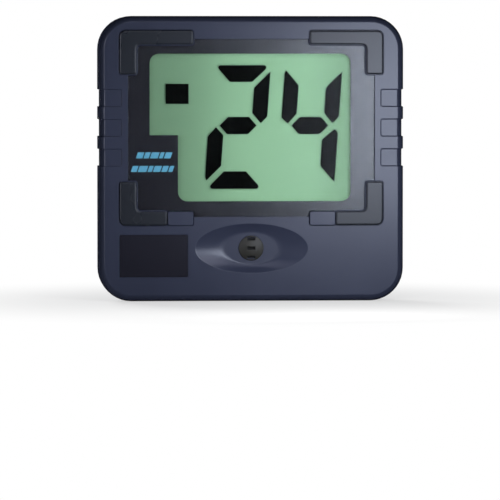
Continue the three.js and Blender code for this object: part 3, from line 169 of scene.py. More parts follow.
def noise(tree, scale, detail):
    """Noise in the piece's own space."""
    place = tree.nodes.new("ShaderNodeTexCoord")
    texture = tree.nodes.new("ShaderNodeTexNoise")
    texture.inputs["Scale"].default_value = scale
    texture.inputs["Detail"].default_value = detail
    tree.links.new(place.outputs["Object"], texture.inputs["Vector"])
    return texture


def spread(tree, low, high, to_low=0.0, to_high=1.0):
    """Stretches a value from one range to another, with its ends held."""
    node = tree.nodes.new("ShaderNodeMapRange")
    node.inputs["From Min"].default_value = low
    node.inputs["From Max"].default_value = high
    node.inputs["To Min"].default_value = to_low
    node.inputs["To Max"].default_value = to_high
    return node


def maths(tree, operation, *values):
    """A maths node, with the values that aren't linked."""
    node = tree.nodes.new("ShaderNodeMath")
    node.operation = operation
    for index, value in enumerate(values):
        if value is not None:
            node.inputs[index].default_value = value
    return node


def colour_mix(tree, first=None, second=None):
    """A mix of two colours, with those that aren't linked."""
    node = tree.nodes.new("ShaderNodeMix")
    node.data_type = "RGBA"
    for label, colour in (("A", first), ("B", second)):
        if colour:
            node.inputs[label].default_value = (*colour, 1)
    return node


# The skin of a moulded part: the fine spark-eroded grain of the tool, and a slow unevenness in gloss and colour.
skin, skin_in, skin_out = effect(
    "Moulded skin",
    [("Grain size", 0.6 * mm), ("Gloss change", 0.06), ("Roughness", 0.4)],
    ["Height", "Roughness", "Cloud"],
)
per_metre = maths(skin, "DIVIDE", 1, None)
grain = noise(skin, scale=1, detail=2)
cloud = noise(skin, scale=14, detail=3)
centred = maths(skin, "SUBTRACT", None, 0.5)
scaled = maths(skin, "MULTIPLY_ADD")
join_nodes(
    skin,
    ((skin_in, "Grain size"), (per_metre, 1)),
    ((per_metre, 0), (grain, "Scale")),
    ((cloud, "Fac"), (centred, 0)),
    ((centred, 0), (scaled, 0)),
    ((skin_in, "Gloss change"), (scaled, 1)),
    ((skin_in, "Roughness"), (scaled, 2)),
    ((grain, "Fac"), (skin_out, "Height")),
    ((scaled, 0), (skin_out, "Roughness")),
    ((cloud, "Fac"), (skin_out, "Cloud")),
)

# Handling wear: a mask of the edges, broken up by small rubs, from how far the normal turns near an edge.
unturned = 0.995
fully_turned = 0.9
rub_begins = 0.42
rub_full = 0.68
wear, wear_in, wear_out = effect("Edge wear", [("Reach", 0.8 * mm), ("Amount", 0.3)], ["Mask"])
rounding = wear.nodes.new("ShaderNodeBevel")
rounding.samples = 6
true_normal = wear.nodes.new("ShaderNodeNewGeometry")
turn_of_normal = wear.nodes.new("ShaderNodeVectorMath")
turn_of_normal.operation = "DOT_PRODUCT"
near_edge = spread(wear, unturned, fully_turned)
rub = noise(wear, scale=260, detail=4)
broken = spread(wear, rub_begins, rub_full)
both = maths(wear, "MULTIPLY")
amount = maths(wear, "MULTIPLY")
join_nodes(
    wear,
    ((wear_in, "Reach"), (rounding, "Radius")),
    ((rounding, "Normal"), (turn_of_normal, 0)),
    ((true_normal, "Normal"), (turn_of_normal, 1)),
    ((turn_of_normal, "Value"), (near_edge, "Value")),
    ((rub, "Fac"), (broken, "Value")),
    ((near_edge, "Result"), (both, 0)),
    ((broken, "Result"), (both, 1)),
    ((both, 0), (amount, 0)),
    ((wear_in, "Amount"), (amount, 1)),
    ((amount, 0), (wear_out, "Mask")),
)

cloud_contrast = 0.1
grain_strength = 0.5


def moulded(
    name, colour, worn, roughness, grain_size=0.6 * mm, grain_depth=0.04 * mm, wear_amount=0.3, metallic=0
):
    """A finish with a faint cloud in its colour, paler worn edges, and the tool's grain in its bump."""
    material, tree, shader = new_material(name)
    shader.inputs["Metallic"].default_value = metallic
    surface = tree.nodes.new("ShaderNodeGroup")
    surface.node_tree = skin
    surface.inputs["Grain size"].default_value = grain_size
    surface.inputs["Roughness"].default_value = roughness
    edges = tree.nodes.new("ShaderNodeGroup")
    edges.node_tree = wear
    edges.inputs["Amount"].default_value = wear_amount
    darker = [(1 - cloud_contrast) * part for part in colour]
    paler = [(1 + cloud_contrast) * part for part in colour]
    tint = colour_mix(tree, darker, paler)
    rubbed = colour_mix(tree, second=worn)
    bump = tree.nodes.new("ShaderNodeBump")
    bump.inputs["Distance"].default_value = grain_depth
    bump.inputs["Strength"].default_value = grain_strength
    join_nodes(
        tree,
        ((surface, "Cloud"), (tint, "Factor")),
        ((tint, "Result"), (rubbed, "A")),
        ((edges, "Mask"), (rubbed, "Factor")),
        ((rubbed, "Result"), (shader, "Base Color")),
        ((surface, "Roughness"), (shader, "Roughness")),
        ((surface, "Height"), (bump, "Height")),
        ((bump, "Normal"), (shader, "Normal")),
    )
    return material


case_plastic = moulded(
    "Slate-blue plastic", colour=(0.029, 0.035, 0.064), worn=(0.07, 0.08, 0.115),
    roughness=0.24, grain_size=0.6 * mm, grain_depth=0.02 * mm,
)
case_easing = 0.35 * mm
grip_inner_end = 133 * mm
grips_low = 136 * mm
grips_high = 222 * mm
shoulder_back = -12 * mm


def beside_a_grip(place):
    """Whether a place lies on the rim of one of the grip notches, on the front half of the case."""
    return abs(place.x) > grip_inner_end and grips_low < place.z < grips_high and place.y < shoulder_back


dress(eased_copy("front_cover", "case", case_easing, beside_a_grip), case_plastic)
dress(eased_copy("rear_cover", "case", case_easing), case_plastic)

# Battery door and keys
# Moulded in the same plastic as the shells. The door swings on two pins at its top edge. The keys are the inner ends
# of the two lower pads, and each is pushed back out by a silicone dome on the board.
door_easing = 0.25 * mm
key_easing = 0.3 * mm
dome_easing = 0.08 * mm
dress(eased_copy("battery_door", "battery_door", door_easing), case_plastic)
silicone = moulded(
    "Grey silicone", colour=(0.3, 0.32, 0.35), worn=(0.34, 0.36, 0.38),
    roughness=0.6, grain_size=0.4 * mm, grain_depth=0.02 * mm,
)
for key in ("left_key", "right_key"):
    dress(eased_copy(key, key, key_easing), case_plastic)
    dome = eased_copy(key + "_dome", "case", dome_easing)
    dress(dome, silicone)
    low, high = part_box(key + "_dome")
    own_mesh(dome)

# Corner pads
# Four L-shaped buffers in a greyer plastic. They stand where the lens's corners are cut away, each in a pocket of
# the front shell with stakes through it, and are what touches first when the clock lies on its face.
pad_plastic = moulded(
    "Dark grey plastic", colour=(0.014, 0.017, 0.024), worn=(0.06, 0.065, 0.075),
    roughness=0.27, grain_size=0.6 * mm, grain_depth=0.02 * mm,
)
pad_easing = 0.4 * mm
for corner in ("top_left", "top_right", "bottom_left", "bottom_right"):
    dress(eased_copy("pad_" + corner, "case", pad_easing), pad_plastic)

# Display window
# A clear acrylic sheet let into the face. The black printed mask behind it leaves an L-shaped window, and carries two
# short rows of slanted bars in the window's blocked corner.
mask_ink = moulded(
    "Black printed sheet", colour=(0.006, 0.006, 0.009), worn=(0.008, 0.008, 0.011),
    roughness=0.25, grain_size=0.3 * mm, grain_depth=0.01 * mm, wear_amount=0,
)
mask_ink.node_tree.nodes["Principled BSDF"].inputs["Specular IOR Level"].default_value = 0.7
paint(mask_ink, "display_mask")


def sheet_of(name, tint, index, roughness):
    """A clear sheet, with its tint, how strongly it bends light, and how dull it is."""
    material, tree, shader = new_material(name)
    shader.inputs["Base Color"].default_value = (*tint, 1)
    shader.inputs["Transmission Weight"].default_value = 1
    shader.inputs["IOR"].default_value = index
    shader.inputs["Roughness"].default_value = roughness
    return material


# The lens has a coat against glare, so it mirrors little. It casts no shadow: the lamps shine through it.
lens_easing = 0.15 * mm
acrylic = sheet_of("Acrylic", tint=(0.98, 0.99, 0.99), index=1.1, roughness=0.02)
lens = eased_copy("display_lens", "case", lens_easing)
dress(lens, acrylic)
lens.visible_shadow = False

bar_lean_share = 0.35
bar_gap = 1.2 * mm
bar_thickness = 0.06 * mm


def add_rings(bm, rings):
    """Adds a closed skin over a row of rings of vertices to a mesh."""
    for ring, following in zip(rings, rings[1:]):
        for step in range(len(ring)):
            after = (step + 1) % len(ring)
            bm.faces.new([ring[step], ring[after], following[after], following[step]])
    bm.faces.new(rings[0][::-1])
    bm.faces.new(rings[-1])


def add_plate(bm, outline, from_y, to_y):
    """Adds a plate with an outline in X and Z, between two places in Y, to a mesh."""
    add_rings(bm, [[bm.verts.new((x, y, z)) for x, z in outline] for y in (from_y, to_y)])


def slanted_bars(name, left, right, low, high, widths, y):
    """A row of slanted bars of ink between two ends, with the widths given as shares of the row."""
    lean = bar_lean_share * (high - low)
    room = right - left - lean - bar_gap * (len(widths) - 1)
    bm = bmesh.new()
    x = left
    for share in widths:
        wide = room * share / sum(widths)
        corners = [(x, low), (x + wide, low), (x + wide + lean, high), (x + lean, high)]
        add_plate(bm, corners, y, y + bar_thickness)
        x += wide + bar_gap
    bmesh.ops.recalc_face_normals(bm, faces=bm.faces)
    return new_piece(name, bm, "case")


pale_blue_ink = moulded(
    "Pale blue ink", colour=(0.08, 0.33, 0.47), worn=(0.08, 0.3, 0.5),
    roughness=0.45, grain_size=0.2 * mm, grain_depth=0.01 * mm, wear_amount=0,
)
print_gap = 0.1 * mm
print_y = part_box("display_mask")[0].y - print_gap
pixel = 1.031 * mm
base_row = 301.2
middle_column = 251.3
# Each row of bars spans these columns and rows of the photo. The widths are shares of the row.
upper_columns = (136, 172.5)
upper_rows = (152.5, 158.5)
upper_widths = (5, 4, 6, 3, 5)
lower_columns = (131, 174.5)
lower_rows = (166, 172)
lower_widths = (4, 6, 3, 5, 4, 3)
for name, columns, rows, widths in [
    ("caption_bars_upper", upper_columns, upper_rows, upper_widths),
    ("caption_bars_lower", lower_columns, lower_rows, lower_widths),
]:
    left, right = ((column - middle_column) * pixel for column in columns)
    high, low = ((base_row - row) * pixel for row in rows)
    dress(slanted_bars(name, left, right, low, high, widths, print_y), pale_blue_ink)

# Liquid-crystal display
# Two sheets of glass with the black segments between them, over a grey-green reflecting film. A black moulded tray
# holds them against the board, with a rubber contact strip above and below.
display_glass = sheet_of("Display glass", tint=(0.97, 1, 0.98), index=1.03, roughness=0)
paint(display_glass, "front_glass", "rear_glass")
for glass in ("front_glass", "rear_glass"):
    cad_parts[glass].visible_shadow = False


def own_axes(tree):
    """The place in the piece's own space, split into its three axes."""
    place = tree.nodes.new("ShaderNodeTexCoord")
    axes = tree.nodes.new("ShaderNodeSeparateXYZ")
    tree.links.new(place.outputs["Object"], axes.inputs[0])
    return axes


film_darker = (0.27, 0.44, 0.265)
film_paler = (0.3, 0.475, 0.29)
film, tree, shader = new_material("Reflecting film")
shader.inputs["Roughness"].default_value = 0.5
shader.inputs["Specular IOR Level"].default_value = 0.1
shader.inputs["Metallic"].default_value = 0.4
fibres = noise(tree, scale=900, detail=3)
speckle = colour_mix(tree, film_darker, film_paler)
# Painted shade: the film's colour is kept full in the middle and darkened towards its left and right ends.
left_end = -90 * mm
brightest_from = 5 * mm
brightest_to = 60 * mm
right_end = 105 * mm
painted_shade_left_level = 0.6
painted_shade_right_level = 0.72
axes = own_axes(tree)
from_left = spread(tree, left_end, brightest_from, painted_shade_left_level, 1)
from_left.interpolation_type = "SMOOTHSTEP"
to_right = spread(tree, brightest_to, right_end, 1, painted_shade_right_level)
both_ends = maths(tree, "MULTIPLY")
# Painted shade: this mix darkens the film's colour towards both ends.
painted_end_shade = colour_mix(tree, (0, 0, 0))
join_nodes(
    tree,
    ((fibres, "Fac"), (speckle, "Factor")),
    ((axes, "X"), (from_left, "Value")),
    ((axes, "X"), (to_right, "Value")),
    ((from_left, "Result"), (both_ends, 0)),
    ((to_right, "Result"), (both_ends, 1)),
    ((both_ends, 0), (painted_end_shade, "Factor")),
    ((speckle, "Result"), (painted_end_shade, "B")),
    ((painted_end_shade, "Result"), (shader, "Base Color")),
)
paint(film, "reflector")

crystal_black = moulded(
    "Driven crystal", colour=(0.0012, 0.0014, 0.0013), worn=(0.002, 0.002, 0.002),
    roughness=0.6, grain_size=0.5 * mm, grain_depth=0.005 * mm, wear_amount=0,
)
crystal_black.node_tree.nodes["Principled BSDF"].inputs["Specular IOR Level"].default_value = 0.05
digits = [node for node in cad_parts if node.endswith("_bar")]
paint(crystal_black, *digits, "status_block")

black_plastic = moulded("Black plastic", colour=(0.01, 0.01, 0.011), worn=(0.05, 0.05, 0.05), roughness=0.42)
black_rubber = moulded(
    "Black rubber", colour=(0.01, 0.01, 0.01), worn=(0.02, 0.02, 0.02),
    roughness=0.75, grain_size=0.3 * mm, grain_depth=0.03 * mm,
)
tray_easing = 0.2 * mm
dress(eased_copy("display_tray", "case", tray_easing), black_plastic)
paint(black_rubber, "contact_strip_bottom", "contact_strip_top")

# Horn
# A piezo disc in a round housing sounds through a slotted cap, pushed into the flat bottom of the oval dish in the
# front shell. A rubber gasket with a thin skin seals it from rain.
horn_plastic = moulded(
    "Horn cap plastic", colour=(0.02, 0.0195, 0.016), worn=(0.045, 0.043, 0.037),
    roughness=0.45, grain_size=0.6 * mm, grain_depth=0.06 * mm,
)
# Painted shade: where the cap's skirt lies below the dish's floor its colour is painted near black, so its slots look
# black.
cap_proud = 3.1 * mm
slot_painted_shade = (0.001, 0.001, 0.001)
tree = horn_plastic.node_tree
shader = tree.nodes["Principled BSDF"]
outside = shader.inputs["Base Color"].links[0].from_socket
axes = own_axes(tree)
sunk = maths(tree, "GREATER_THAN", None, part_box("horn_cap")[0].y + cap_proud)
# Painted shade: near black wherever the cap lies deeper than the dish's floor.
painted_slot_shade_mix = colour_mix(tree, second=slot_painted_shade)
tree.links.new(outside, painted_slot_shade_mix.inputs["A"])
join_nodes(
    tree,
    ((axes, "Y"), (sunk, 0)),
    ((sunk, 0), (painted_slot_shade_mix, "Factor")),
    ((painted_slot_shade_mix, "Result"), (shader, "Base Color")),
)
horn_easing = 0.2 * mm
dress(eased_copy("horn_cap", "case", horn_easing), horn_plastic)
dress(eased_copy("horn_housing", "case", horn_easing), black_plastic)
paint(black_rubber, "horn_gasket")
brass = moulded(
    "Turned brass", colour=(0.55, 0.4, 0.12), worn=(0.62, 0.47, 0.18),
    roughness=0.3, grain_size=0.9 * mm, grain_depth=0.01 * mm, wear_amount=0.4, metallic=1,
)
paint(brass, "horn_disc")

# Label plate
# A thin plate of glossy black plastic sheet, with its edges slightly eased. It is glued into a shallow recess at the
# lower left of the face, and is left bare.
label_gloss = moulded(
    "Glossy black label", colour=(0.01, 0.01, 0.018), worn=(0.02, 0.02, 0.03),
    roughness=0.25, grain_size=4 * mm, grain_depth=0.01 * mm, wear_amount=0.1,
)
label_easing = 0.1 * mm
dress(eased_copy("label_plate", "case", label_easing), label_gloss)

# Circuit board
# Green glass-fibre laminate with its chip, crystal and capacitor on the back, hooked under two clips at the top and
# held by two screws at the bottom.
laminate = moulded(
    "Green laminate", colour=(0.014, 0.1, 0.042), worn=(0.2, 0.22, 0.12),
    roughness=0.35, grain_size=1.2 * mm, grain_depth=0.03 * mm,
)
steel = moulded(
    "Zinc-plated steel", colour=(0.42, 0.43, 0.45), worn=(0.55, 0.56, 0.58),
    roughness=0.32, grain_size=0.5 * mm, grain_depth=0.01 * mm, wear_amount=0.4, metallic=1,
)
nickel = moulded(
    "Nickel plate", colour=(0.6, 0.58, 0.54), worn=(0.7, 0.68, 0.65),
    roughness=0.22, grain_size=0.5 * mm, grain_depth=0.008 * mm, wear_amount=0.3, metallic=1,
)
paint(laminate, "main_board")
paint(black_plastic, "controller_chip", "capacitor")
paint(nickel, "crystal")
board_screw_easing = 0.08 * mm
for screw in ("board_screw_left", "board_screw_right"):
    dress(eased_copy(screw, "case", board_screw_easing), steel)

# Power switch and hand-control socket
# Both stand on the board's tail and come out through the right-hand wall: a sliding knob in a shallow recess, and
# the bore of a 3.5 mm socket.
switch_easing = 0.15 * mm
dress(eased_copy("power_knob", "power_knob", switch_easing), black_plastic)
dress(eased_copy("jack_socket", "case", switch_easing), black_plastic)
paint(steel, "power_switch")

# Battery cells
# Four AA cells lie head to tail in a well in the rear shell. Each has a plain dark blue wrap with a pale band at its
# head, over a steel can that shows at both ends.
cell_low, cell_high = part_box("battery_1")
cell_half = (cell_high.x - cell_low.x) / 2
cell_middle = (cell_low + cell_high) / 2
button_length = 1.3 * mm
head_band = 7 * mm
bare_end = 0.6 * mm
cell_easing = 0.1 * mm
band_grey = (0.35, 0.36, 0.37)
can_steel = (0.5, 0.5, 0.49)


def cell_finish(name, head):
    """Shrink wrap with its band, and bare steel at both ends. head is 1 where the cell points to +X, else -1."""
    material = moulded(
        name, colour=(0.02, 0.032, 0.075), worn=(0.05, 0.06, 0.1),
        roughness=0.3, grain_size=0.4 * mm, grain_depth=0.01 * mm, wear_amount=0.1,
    )
    tree = material.node_tree
    shader = tree.nodes["Principled BSDF"]
    wrap = shader.inputs["Base Color"].links[0].from_socket
    axes = own_axes(tree)
    along = maths(tree, "MULTIPLY", None, head)
    in_band = maths(tree, "GREATER_THAN", None, cell_half - button_length - head_band)
    past_wrap = maths(tree, "GREATER_THAN", None, cell_half - button_length - bare_end)
    past_tail = maths(tree, "LESS_THAN", None, bare_end - cell_half)
    bare = maths(tree, "MAXIMUM")
    banded = colour_mix(tree, second=band_grey)
    ended = colour_mix(tree, second=can_steel)
    tree.links.new(wrap, banded.inputs["A"])
    join_nodes(
        tree,
        ((axes, "X"), (along, 0)),
        ((along, 0), (in_band, 0)),
        ((along, 0), (past_wrap, 0)),
        ((along, 0), (past_tail, 0)),
        ((past_wrap, 0), (bare, 0)),
        ((past_tail, 0), (bare, 1)),
        ((in_band, 0), (banded, "Factor")),
        ((bare, 0), (ended, "Factor")),
        ((banded, "Result"), (ended, "A")),
        ((ended, "Result"), (shader, "Base Color")),
        ((bare, 0), (shader, "Metallic")),
    )
    return material


head_right = cell_finish("Cell wrap, head right", 1)
head_left = cell_finish("Cell wrap, head left", -1)
for cell, finish in [
    ("battery_1", head_right),
    ("battery_2", head_left),
    ("battery_3", head_right),
    ("battery_4", head_left),
]:
    dress(eased_copy(cell, "case", cell_easing), finish)

# Battery contacts and leads
# Each is bent from nickel-plated strip, with a pressed dimple for the button of one cell and a coiled spring for the
# flat end of the next. Two insulated leads run from the end contacts to the board, and a third runs to the horn.


def add_wire(bm, points, radius, sides=8):
    """Adds a round wire that winds about X through the points to a mesh."""
    rings = []
    for index, point in enumerate(points):
        ahead = points[min(index + 1, len(points) - 1)] - points[max(index - 1, 0)]
        across = ahead.cross(Vector((1, 0, 0))).normalized()
        up = ahead.cross(across).normalized()
        rings.append([
            bm.verts.new(point + radius * (math.cos(angle) * across + math.sin(angle) * up))
            for angle in (math.tau * step / sides for step in range(sides))
        ])
    add_rings(bm, rings)


dimple_profile_shares = [(1.0, 0.0), (0.9, 0.55), (0.6, 0.9), (0.25, 1.0)]


def add_dimple(bm, x_from, x_to, y, z, radius, sides=20):
    """Adds a pressed dimple that stands out along X to a mesh."""
    rings = []
    for across, along in dimple_profile_shares:
        x = x_from + (x_to - x_from) * along
        rings.append([
            bm.verts.new((x, y + radius * across * math.cos(angle), z + radius * across * math.sin(angle)))
            for angle in (math.tau * step / sides for step in range(sides))
        ])
    add_rings(bm, rings)


def add_block(bm, low, high):
    """Adds a block between two corners to a mesh."""
    outline = [(low[0], low[2]), (high[0], low[2]), (high[0], high[2]), (low[0], high[2])]
    add_plate(bm, outline, low[1], high[1])


strip_crease = math.radians(40)
strip_thickness = 0.5 * mm
tab_width = 3 * mm
dimple_radius = 2.7 * mm
contact_gap = 0.3 * mm
wire_radius = 0.35 * mm
coil_foot_outside = 4.2 * mm
coil_head_outside = 2.4 * mm
coil_foot_radius = coil_foot_outside - wire_radius
coil_head_radius = coil_head_outside - wire_radius
coil_turns = 4
steps_per_turn = 20
# Side is -1 at the left wall and 1 at the right. Each contact has a spring, a dimple or both, for the cells named.
for name, side, sprung, pressed in [
    ("contact_negative", -1, "battery_1", None),
    ("contact_positive", -1, None, "battery_4"),
    ("contact_link_left", -1, "battery_3", "battery_2"),
    ("contact_link_upper_right", 1, "battery_2", "battery_1"),
    ("contact_link_lower_right", 1, "battery_4", "battery_3"),
]:
    low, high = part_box(name)
    outer = max(abs(low.x), abs(high.x))
    inner = outer - strip_thickness
    strip_from, strip_to = sorted((side * inner, side * outer))
    strip_low_y = 2 * cell_middle.y - high.y
    bm = bmesh.new()
    add_block(bm, (strip_from, strip_low_y, low.z), (strip_to, high.y, high.z))
    # The two end contacts also have a tab that goes through the well's floor to a lead.
    if low.y < strip_low_y - strip_thickness:
        middle = (low.z + high.z) / 2
        tab_low = (strip_from, low.y, middle - tab_width / 2)
        add_block(bm, tab_low, (strip_to, strip_low_y + strip_thickness, middle + tab_width / 2))
    if sprung:
        cell_z = sum(corner.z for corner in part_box(sprung)) / 2
        foot, head = inner, cell_half + contact_gap + wire_radius
        coil = []
        for step in range(coil_turns * steps_per_turn + 1):
            share = step / (coil_turns * steps_per_turn)
            angle = math.tau * coil_turns * share
            radius = coil_foot_radius + (coil_head_radius - coil_foot_radius) * share
            x = side * (foot + (head - foot) * share)
            coil.append(Vector((x, cell_middle.y + radius * math.cos(angle), cell_z + radius * math.sin(angle))))
        add_wire(bm, coil, wire_radius)
    if pressed:
        cell_z = sum(corner.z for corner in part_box(pressed)) / 2
        add_dimple(bm, side * inner, side * (cell_half + contact_gap), cell_middle.y, cell_z, dimple_radius)
    bmesh.ops.recalc_face_normals(bm, faces=bm.faces)
    contact = new_piece(name + "_sprung", bm, "case")
    contact.data.shade_smooth()
    contact.data.set_sharp_from_angle(angle=strip_crease)
    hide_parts(name)
    dress(contact, nickel)

red_sleeve = moulded(
    "Red insulation", colour=(0.37, 0.014, 0.012), worn=(0.45, 0.05, 0.04),
    roughness=0.4, grain_size=0.5 * mm, grain_depth=0.01 * mm, wear_amount=0.1,
)
black_sleeve = moulded(
    "Black insulation", colour=(0.008, 0.008, 0.008), worn=(0.03, 0.03, 0.03),
    roughness=0.4, grain_size=0.5 * mm, grain_depth=0.01 * mm, wear_amount=0.1,
)
paint(red_sleeve, "battery_lead_red", "horn_lead")
paint(black_sleeve, "battery_lead_black")

# Case screws and tripod bush
# Zinc-plated pan-head screws stand in deep holes in the back. The brass bush in the underside takes a 1/4 inch
# camera screw, and its thread is cut here with 20 turns to the inch.
case_screw_easing = 0.12 * mm
bush_easing = 0.2 * mm
for place in ("bottom_left", "bottom_right", "top_left", "top_right"):
    dress(eased_copy("case_screw_" + place, "case", case_screw_easing), steel)
dress(eased_copy("tripod_bush", "case", bush_easing), brass)

bush_low, bush_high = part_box("tripod_bush")
bush_middle = (bush_low + bush_high) / 2
inch = 25.4 * mm
turns_to_the_inch = 20
thread_pitch = inch / turns_to_the_inch
thread_outside = 3.25 * mm
thread_depth = 0.62 * mm
thread_end_gap = 0.9 * mm
thread_sunk = 0.02 * mm
ridge_shares = [(0, -0.46), (1, 0), (0, 0.46)]
thread_start = bush_low.z + thread_end_gap
thread_turns = (bush_high.z - bush_low.z - 2 * thread_end_gap) / thread_pitch
bm = bmesh.new()
sections = []
for step in range(round(thread_turns * steps_per_turn) + 1):
    angle = math.tau * step / steps_per_turn
    z = thread_start + thread_pitch * step / steps_per_turn
    section = []
    for inward, along in ridge_shares:
        radius = thread_outside + thread_sunk - inward * (thread_depth + thread_sunk)
        x = bush_middle.x + radius * math.cos(angle)
        y = bush_middle.y + radius * math.sin(angle)
        section.append(bm.verts.new((x, y, z + along * thread_pitch)))
    sections.append(section)
add_rings(bm, sections)
bmesh.ops.recalc_face_normals(bm, faces=bm.faces)
dress(new_piece("bush_thread", bm, "case"), brass)

# Camera
# It stands a little to the left of the clock's middle line and a little above it. The lens is set so that the
# photo's 500 pixels span 514.2 mm at the clock's face.
pad_height = 2.2 * mm
face_y = cad_low.y + pad_height
aim_x = -1.6 * mm
aim_z = 52.8 * mm
aim = Vector((aim_x, face_y, aim_z))
distance = 4.6
to_the_left = math.radians(4)
above = math.radians(2.5)
photo_span = 514.2 * mm
towards_camera = Vector((
    -math.sin(to_the_left) * math.cos(above),
    -math.cos(to_the_left) * math.cos(above),
    math.sin(above),
))
camera = bpy.data.objects.new("Camera", bpy.data.cameras.new("Camera"))
bpy.context.scene.collection.objects.link(camera)
camera.location = aim + distance * towards_camera
camera.rotation_mode = "QUATERNION"
camera.rotation_quaternion = (-towards_camera).to_track_quat("-Z", "Y")
camera.data.sensor_width = 36
camera.data.lens = camera.data.sensor_width * distance / photo_span
bpy.context.scene.camera = camera

# Studio
# A white floor and surround, soft cards that draw the sheen on the right half and in the dish, black cloths that
# keep the other reflections down, and three soft lamps.


def flat_panel(name, corner, along, up):
    """A flat rectangle from one corner and two edges, which belongs to the studio."""
    corner, along, up = Vector(corner), Vector(along), Vector(up)
    mesh = bpy.data.meshes.new(name)
    mesh.from_pydata([corner, corner + along, corner + along + up, corner + up], [], [(0, 1, 2, 3)])
    mesh.uv_layers.new(name="UVMap")
    for loop, uv in zip(mesh.uv_layers[0].data, [(0, 0), (1, 0), (1, 1), (0, 1)]):
        loop.uv = uv
    panel = bpy.data.objects.new(name, mesh)
    bpy.context.scene.collection.objects.link(panel)
    return panel


def white_where_seen(tree, lit, white):
    """The lit shader, but plain white where the camera, a reflection or clear glass looks."""
    path = tree.nodes.new("ShaderNodeLightPath")
    first = maths(tree, "MAXIMUM")
    seen = maths(tree, "MAXIMUM")
    mix = tree.nodes.new("ShaderNodeMixShader")
    join_nodes(
        tree,
        ((path, "Is Camera Ray"), (first, 0)),
        ((path, "Is Glossy Ray"), (first, 1)),
        ((first, 0), (seen, 0)),
        ((path, "Is Transmission Ray"), (seen, 1)),
        ((seen, 0), (mix, 0)),
        ((lit, 0), (mix, 1)),
        ((white, 0), (mix, 2)),
    )
    return mix


# The surround lights the clock dimly, and looks plain white where it is seen.
world = bpy.data.worlds.new("Studio")
world.use_nodes = True
bpy.context.scene.world = world
tree = world.node_tree
dim = tree.nodes["Background"]
dim.inputs["Color"].default_value = (0.92, 0.96, 1, 1)
dim.inputs["Strength"].default_value = 0.14
white = tree.nodes.new("ShaderNodeBackground")
white.inputs["Color"].default_value = (1, 1, 1, 1)
mix = white_where_seen(tree, dim, white)
tree.links.new(mix.outputs[0], tree.nodes["World Output"].inputs["Surface"])

floor_size = 12
floor_half = floor_size / 2
floor_z = -0.4 * mm
floor = flat_panel("floor", (-floor_half, -floor_half, floor_z), (floor_size, 0, 0), (0, floor_size, 0))
paper, tree, matt = new_material("White floor")
matt.inputs["Base Color"].default_value = (0.85, 0.85, 0.85, 1)
matt.inputs["Roughness"].default_value = 0.9
matt.inputs["Specular IOR Level"].default_value = 0
glow = tree.nodes.new("ShaderNodeEmission")
mix = white_where_seen(tree, matt, glow)
# Near the clock the floor stays partly matt to the camera, so that its shadow shows.
shadow_place = tree.nodes.new("ShaderNodeTexCoord")
reach = tree.nodes.new("ShaderNodeVectorMath")
reach.operation = "LENGTH"
shadow_core = 0.1
shadow_reach = 0.45
shadow_share = 0.45
near = spread(tree, shadow_core, shadow_reach, shadow_share, 0)
near.interpolation_type = "SMOOTHSTEP"
keep_shadow = tree.nodes.new("ShaderNodeMixShader")
join_nodes(
    tree,
    ((shadow_place, "Object"), (reach, 0)),
    ((reach, "Value"), (near, "Value")),
    ((near, "Result"), (keep_shadow, 0)),
    ((mix, 0), (keep_shadow, 1)),
    ((matt, 0), (keep_shadow, 2)),
    ((keep_shadow, 0), (tree.nodes["Material Output"], "Surface")),
)
floor.data.materials.append(paper)


def soft_card(name, corner, along, up, colour, strength):
    """A glowing panel that only reflections and clear glass see, with its node tree and its glow."""
    panel = flat_panel(name, corner, along, up)
    panel.visible_camera = False
    panel.visible_diffuse = False
    material, tree, shader = new_material(name)
    tree.nodes.remove(shader)
    glow = tree.nodes.new("ShaderNodeEmission")
    glow.inputs["Color"].default_value = (*colour, 1)
    glow.inputs["Strength"].default_value = strength
    tree.links.new(glow.outputs[0], tree.nodes["Material Output"].inputs["Surface"])
    panel.data.materials.append(material)
    return tree, glow


# The bright card fades in from its left end and its lower edge, and out towards its top and its right end.
card_y = -0.85
card_left = -0.02
card_width = 0.76
card_height = 0.42
card_level = 7
card_colour = (0.86, 0.94, 1.12)
card_sides = ((card_width, 0, 0), (0, 0, card_height))
tree, glow = soft_card("bright_card", (card_left, card_y, 0), *card_sides, card_colour, card_level)
across = tree.nodes.new("ShaderNodeTexCoord")
split = tree.nodes.new("ShaderNodeSeparateXYZ")
tree.links.new(across.outputs["UV"], split.inputs[0])
level = maths(tree, "MULTIPLY", card_level, 1)
for axis, start, end, low, high in [
    ("X", 0.08, 0.3, 0, 1),
    ("X", 0.46, 0.7, 1, 0.2),
    ("Y", 0.08, 0.24, 0, 1),
    ("Y", 0.74, 0.84, 1, 0),
]:
    fade = spread(tree, start, end, low, high)
    fade.interpolation_type = "SMOOTHSTEP"
    faded = maths(tree, "MULTIPLY")
    join_nodes(
        tree,
        ((split, axis), (fade, "Value")),
        ((level, 0), (faded, 0)),
        ((fade, "Result"), (faded, 1)),
    )
    level = faded
tree.links.new(level.outputs[0], glow.inputs["Strength"])

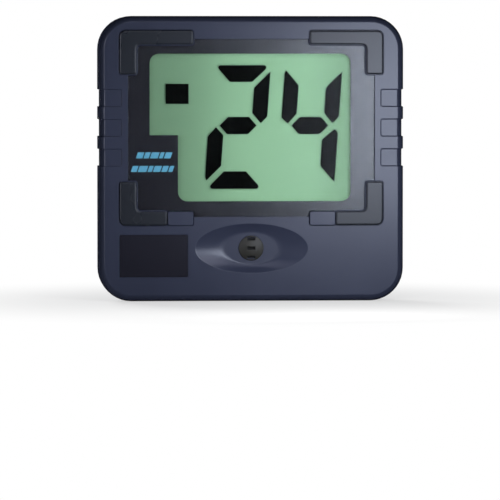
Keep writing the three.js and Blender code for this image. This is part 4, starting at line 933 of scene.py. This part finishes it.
# Three more cards: one on the left draws the pale line along the left shoulder, one at the upper right lights the
# lower left wall of the dish, and one high up lights its bottom.
pale_colour = (0.9, 0.92, 1.1)
for name, corner, along, up, strength in [
    ("side_card", (-1.3, -1.9, 0), (0, 1, 0), (0, 0, 0.9), 4),
    ("upper_card", (0.36, card_y, 0.36), (0.6, 0, 0), (0, 0.2, 0.6), 2.2),
    ("high_card", (-0.3, card_y, 0.62), (0.6, 0, 0), (0, 0.25, 0.6), 1.1),
]:
    soft_card(name, corner, along, up, pale_colour, strength)

# Black cloths all round. Only reflections and clear glass see them.
cloth, tree, shader = new_material("Black cloth")
shader.inputs["Base Color"].default_value = (0.004, 0.004, 0.005, 1)
shader.inputs["Roughness"].default_value = 0.95
shader.inputs["Specular IOR Level"].default_value = 0
tent_side = 1.6
tent_front = -2.9
tent_back = 2
tent_height = 1.8
tent_floor = floor_z / 2
tent_width = (2 * tent_side, 0, 0)
tent_depth = (0, tent_back - tent_front, 0)
tent_rise = (0, 0, tent_height)
for name, corner, along, up in [
    ("cloth_front", (-tent_side, tent_front, 0), tent_width, tent_rise),
    ("cloth_right", (tent_side, tent_front, 0), tent_depth, tent_rise),
    ("cloth_left", (-tent_side, tent_front, 0), tent_depth, tent_rise),
    ("cloth_back", (-tent_side, tent_back, 0), tent_width, tent_rise),
    ("cloth_top", (-tent_side, tent_front, tent_height), tent_width, tent_depth),
    ("cloth_floor", (-tent_side, tent_front, tent_floor), tent_width, tent_depth),
]:
    panel = flat_panel(name, corner, along, up)
    panel.data.materials.append(cloth)
    panel.visible_camera = False
    panel.visible_diffuse = False
    panel.visible_shadow = False

# Three soft lamps: close in front, at the right and behind. Reflections and clear glass don't see them.
lit_middle = Vector((0, 0, 0.15))
for name, place, size, power in [
    ("Lamp front", (0.08, -0.38, 0.15), 0.2, 1.25),
    ("Lamp right", (1.2, -1.6, 1.0), 0.5, 17),
    ("Lamp behind", (-0.9, 1.8, 0.6), 1.2, 60),
]:
    lamp = bpy.data.objects.new(name, bpy.data.lights.new(name, "AREA"))
    lamp.data.size = size
    lamp.data.energy = power
    lamp.location = place
    lamp.rotation_mode = "QUATERNION"
    lamp.rotation_quaternion = (lit_middle - Vector(place)).to_track_quat("-Z", "Y")
    lamp.visible_glossy = False
    lamp.visible_transmission = False
    bpy.context.scene.collection.objects.link(lamp)

bpy.context.scene.view_settings.view_transform = "Standard"
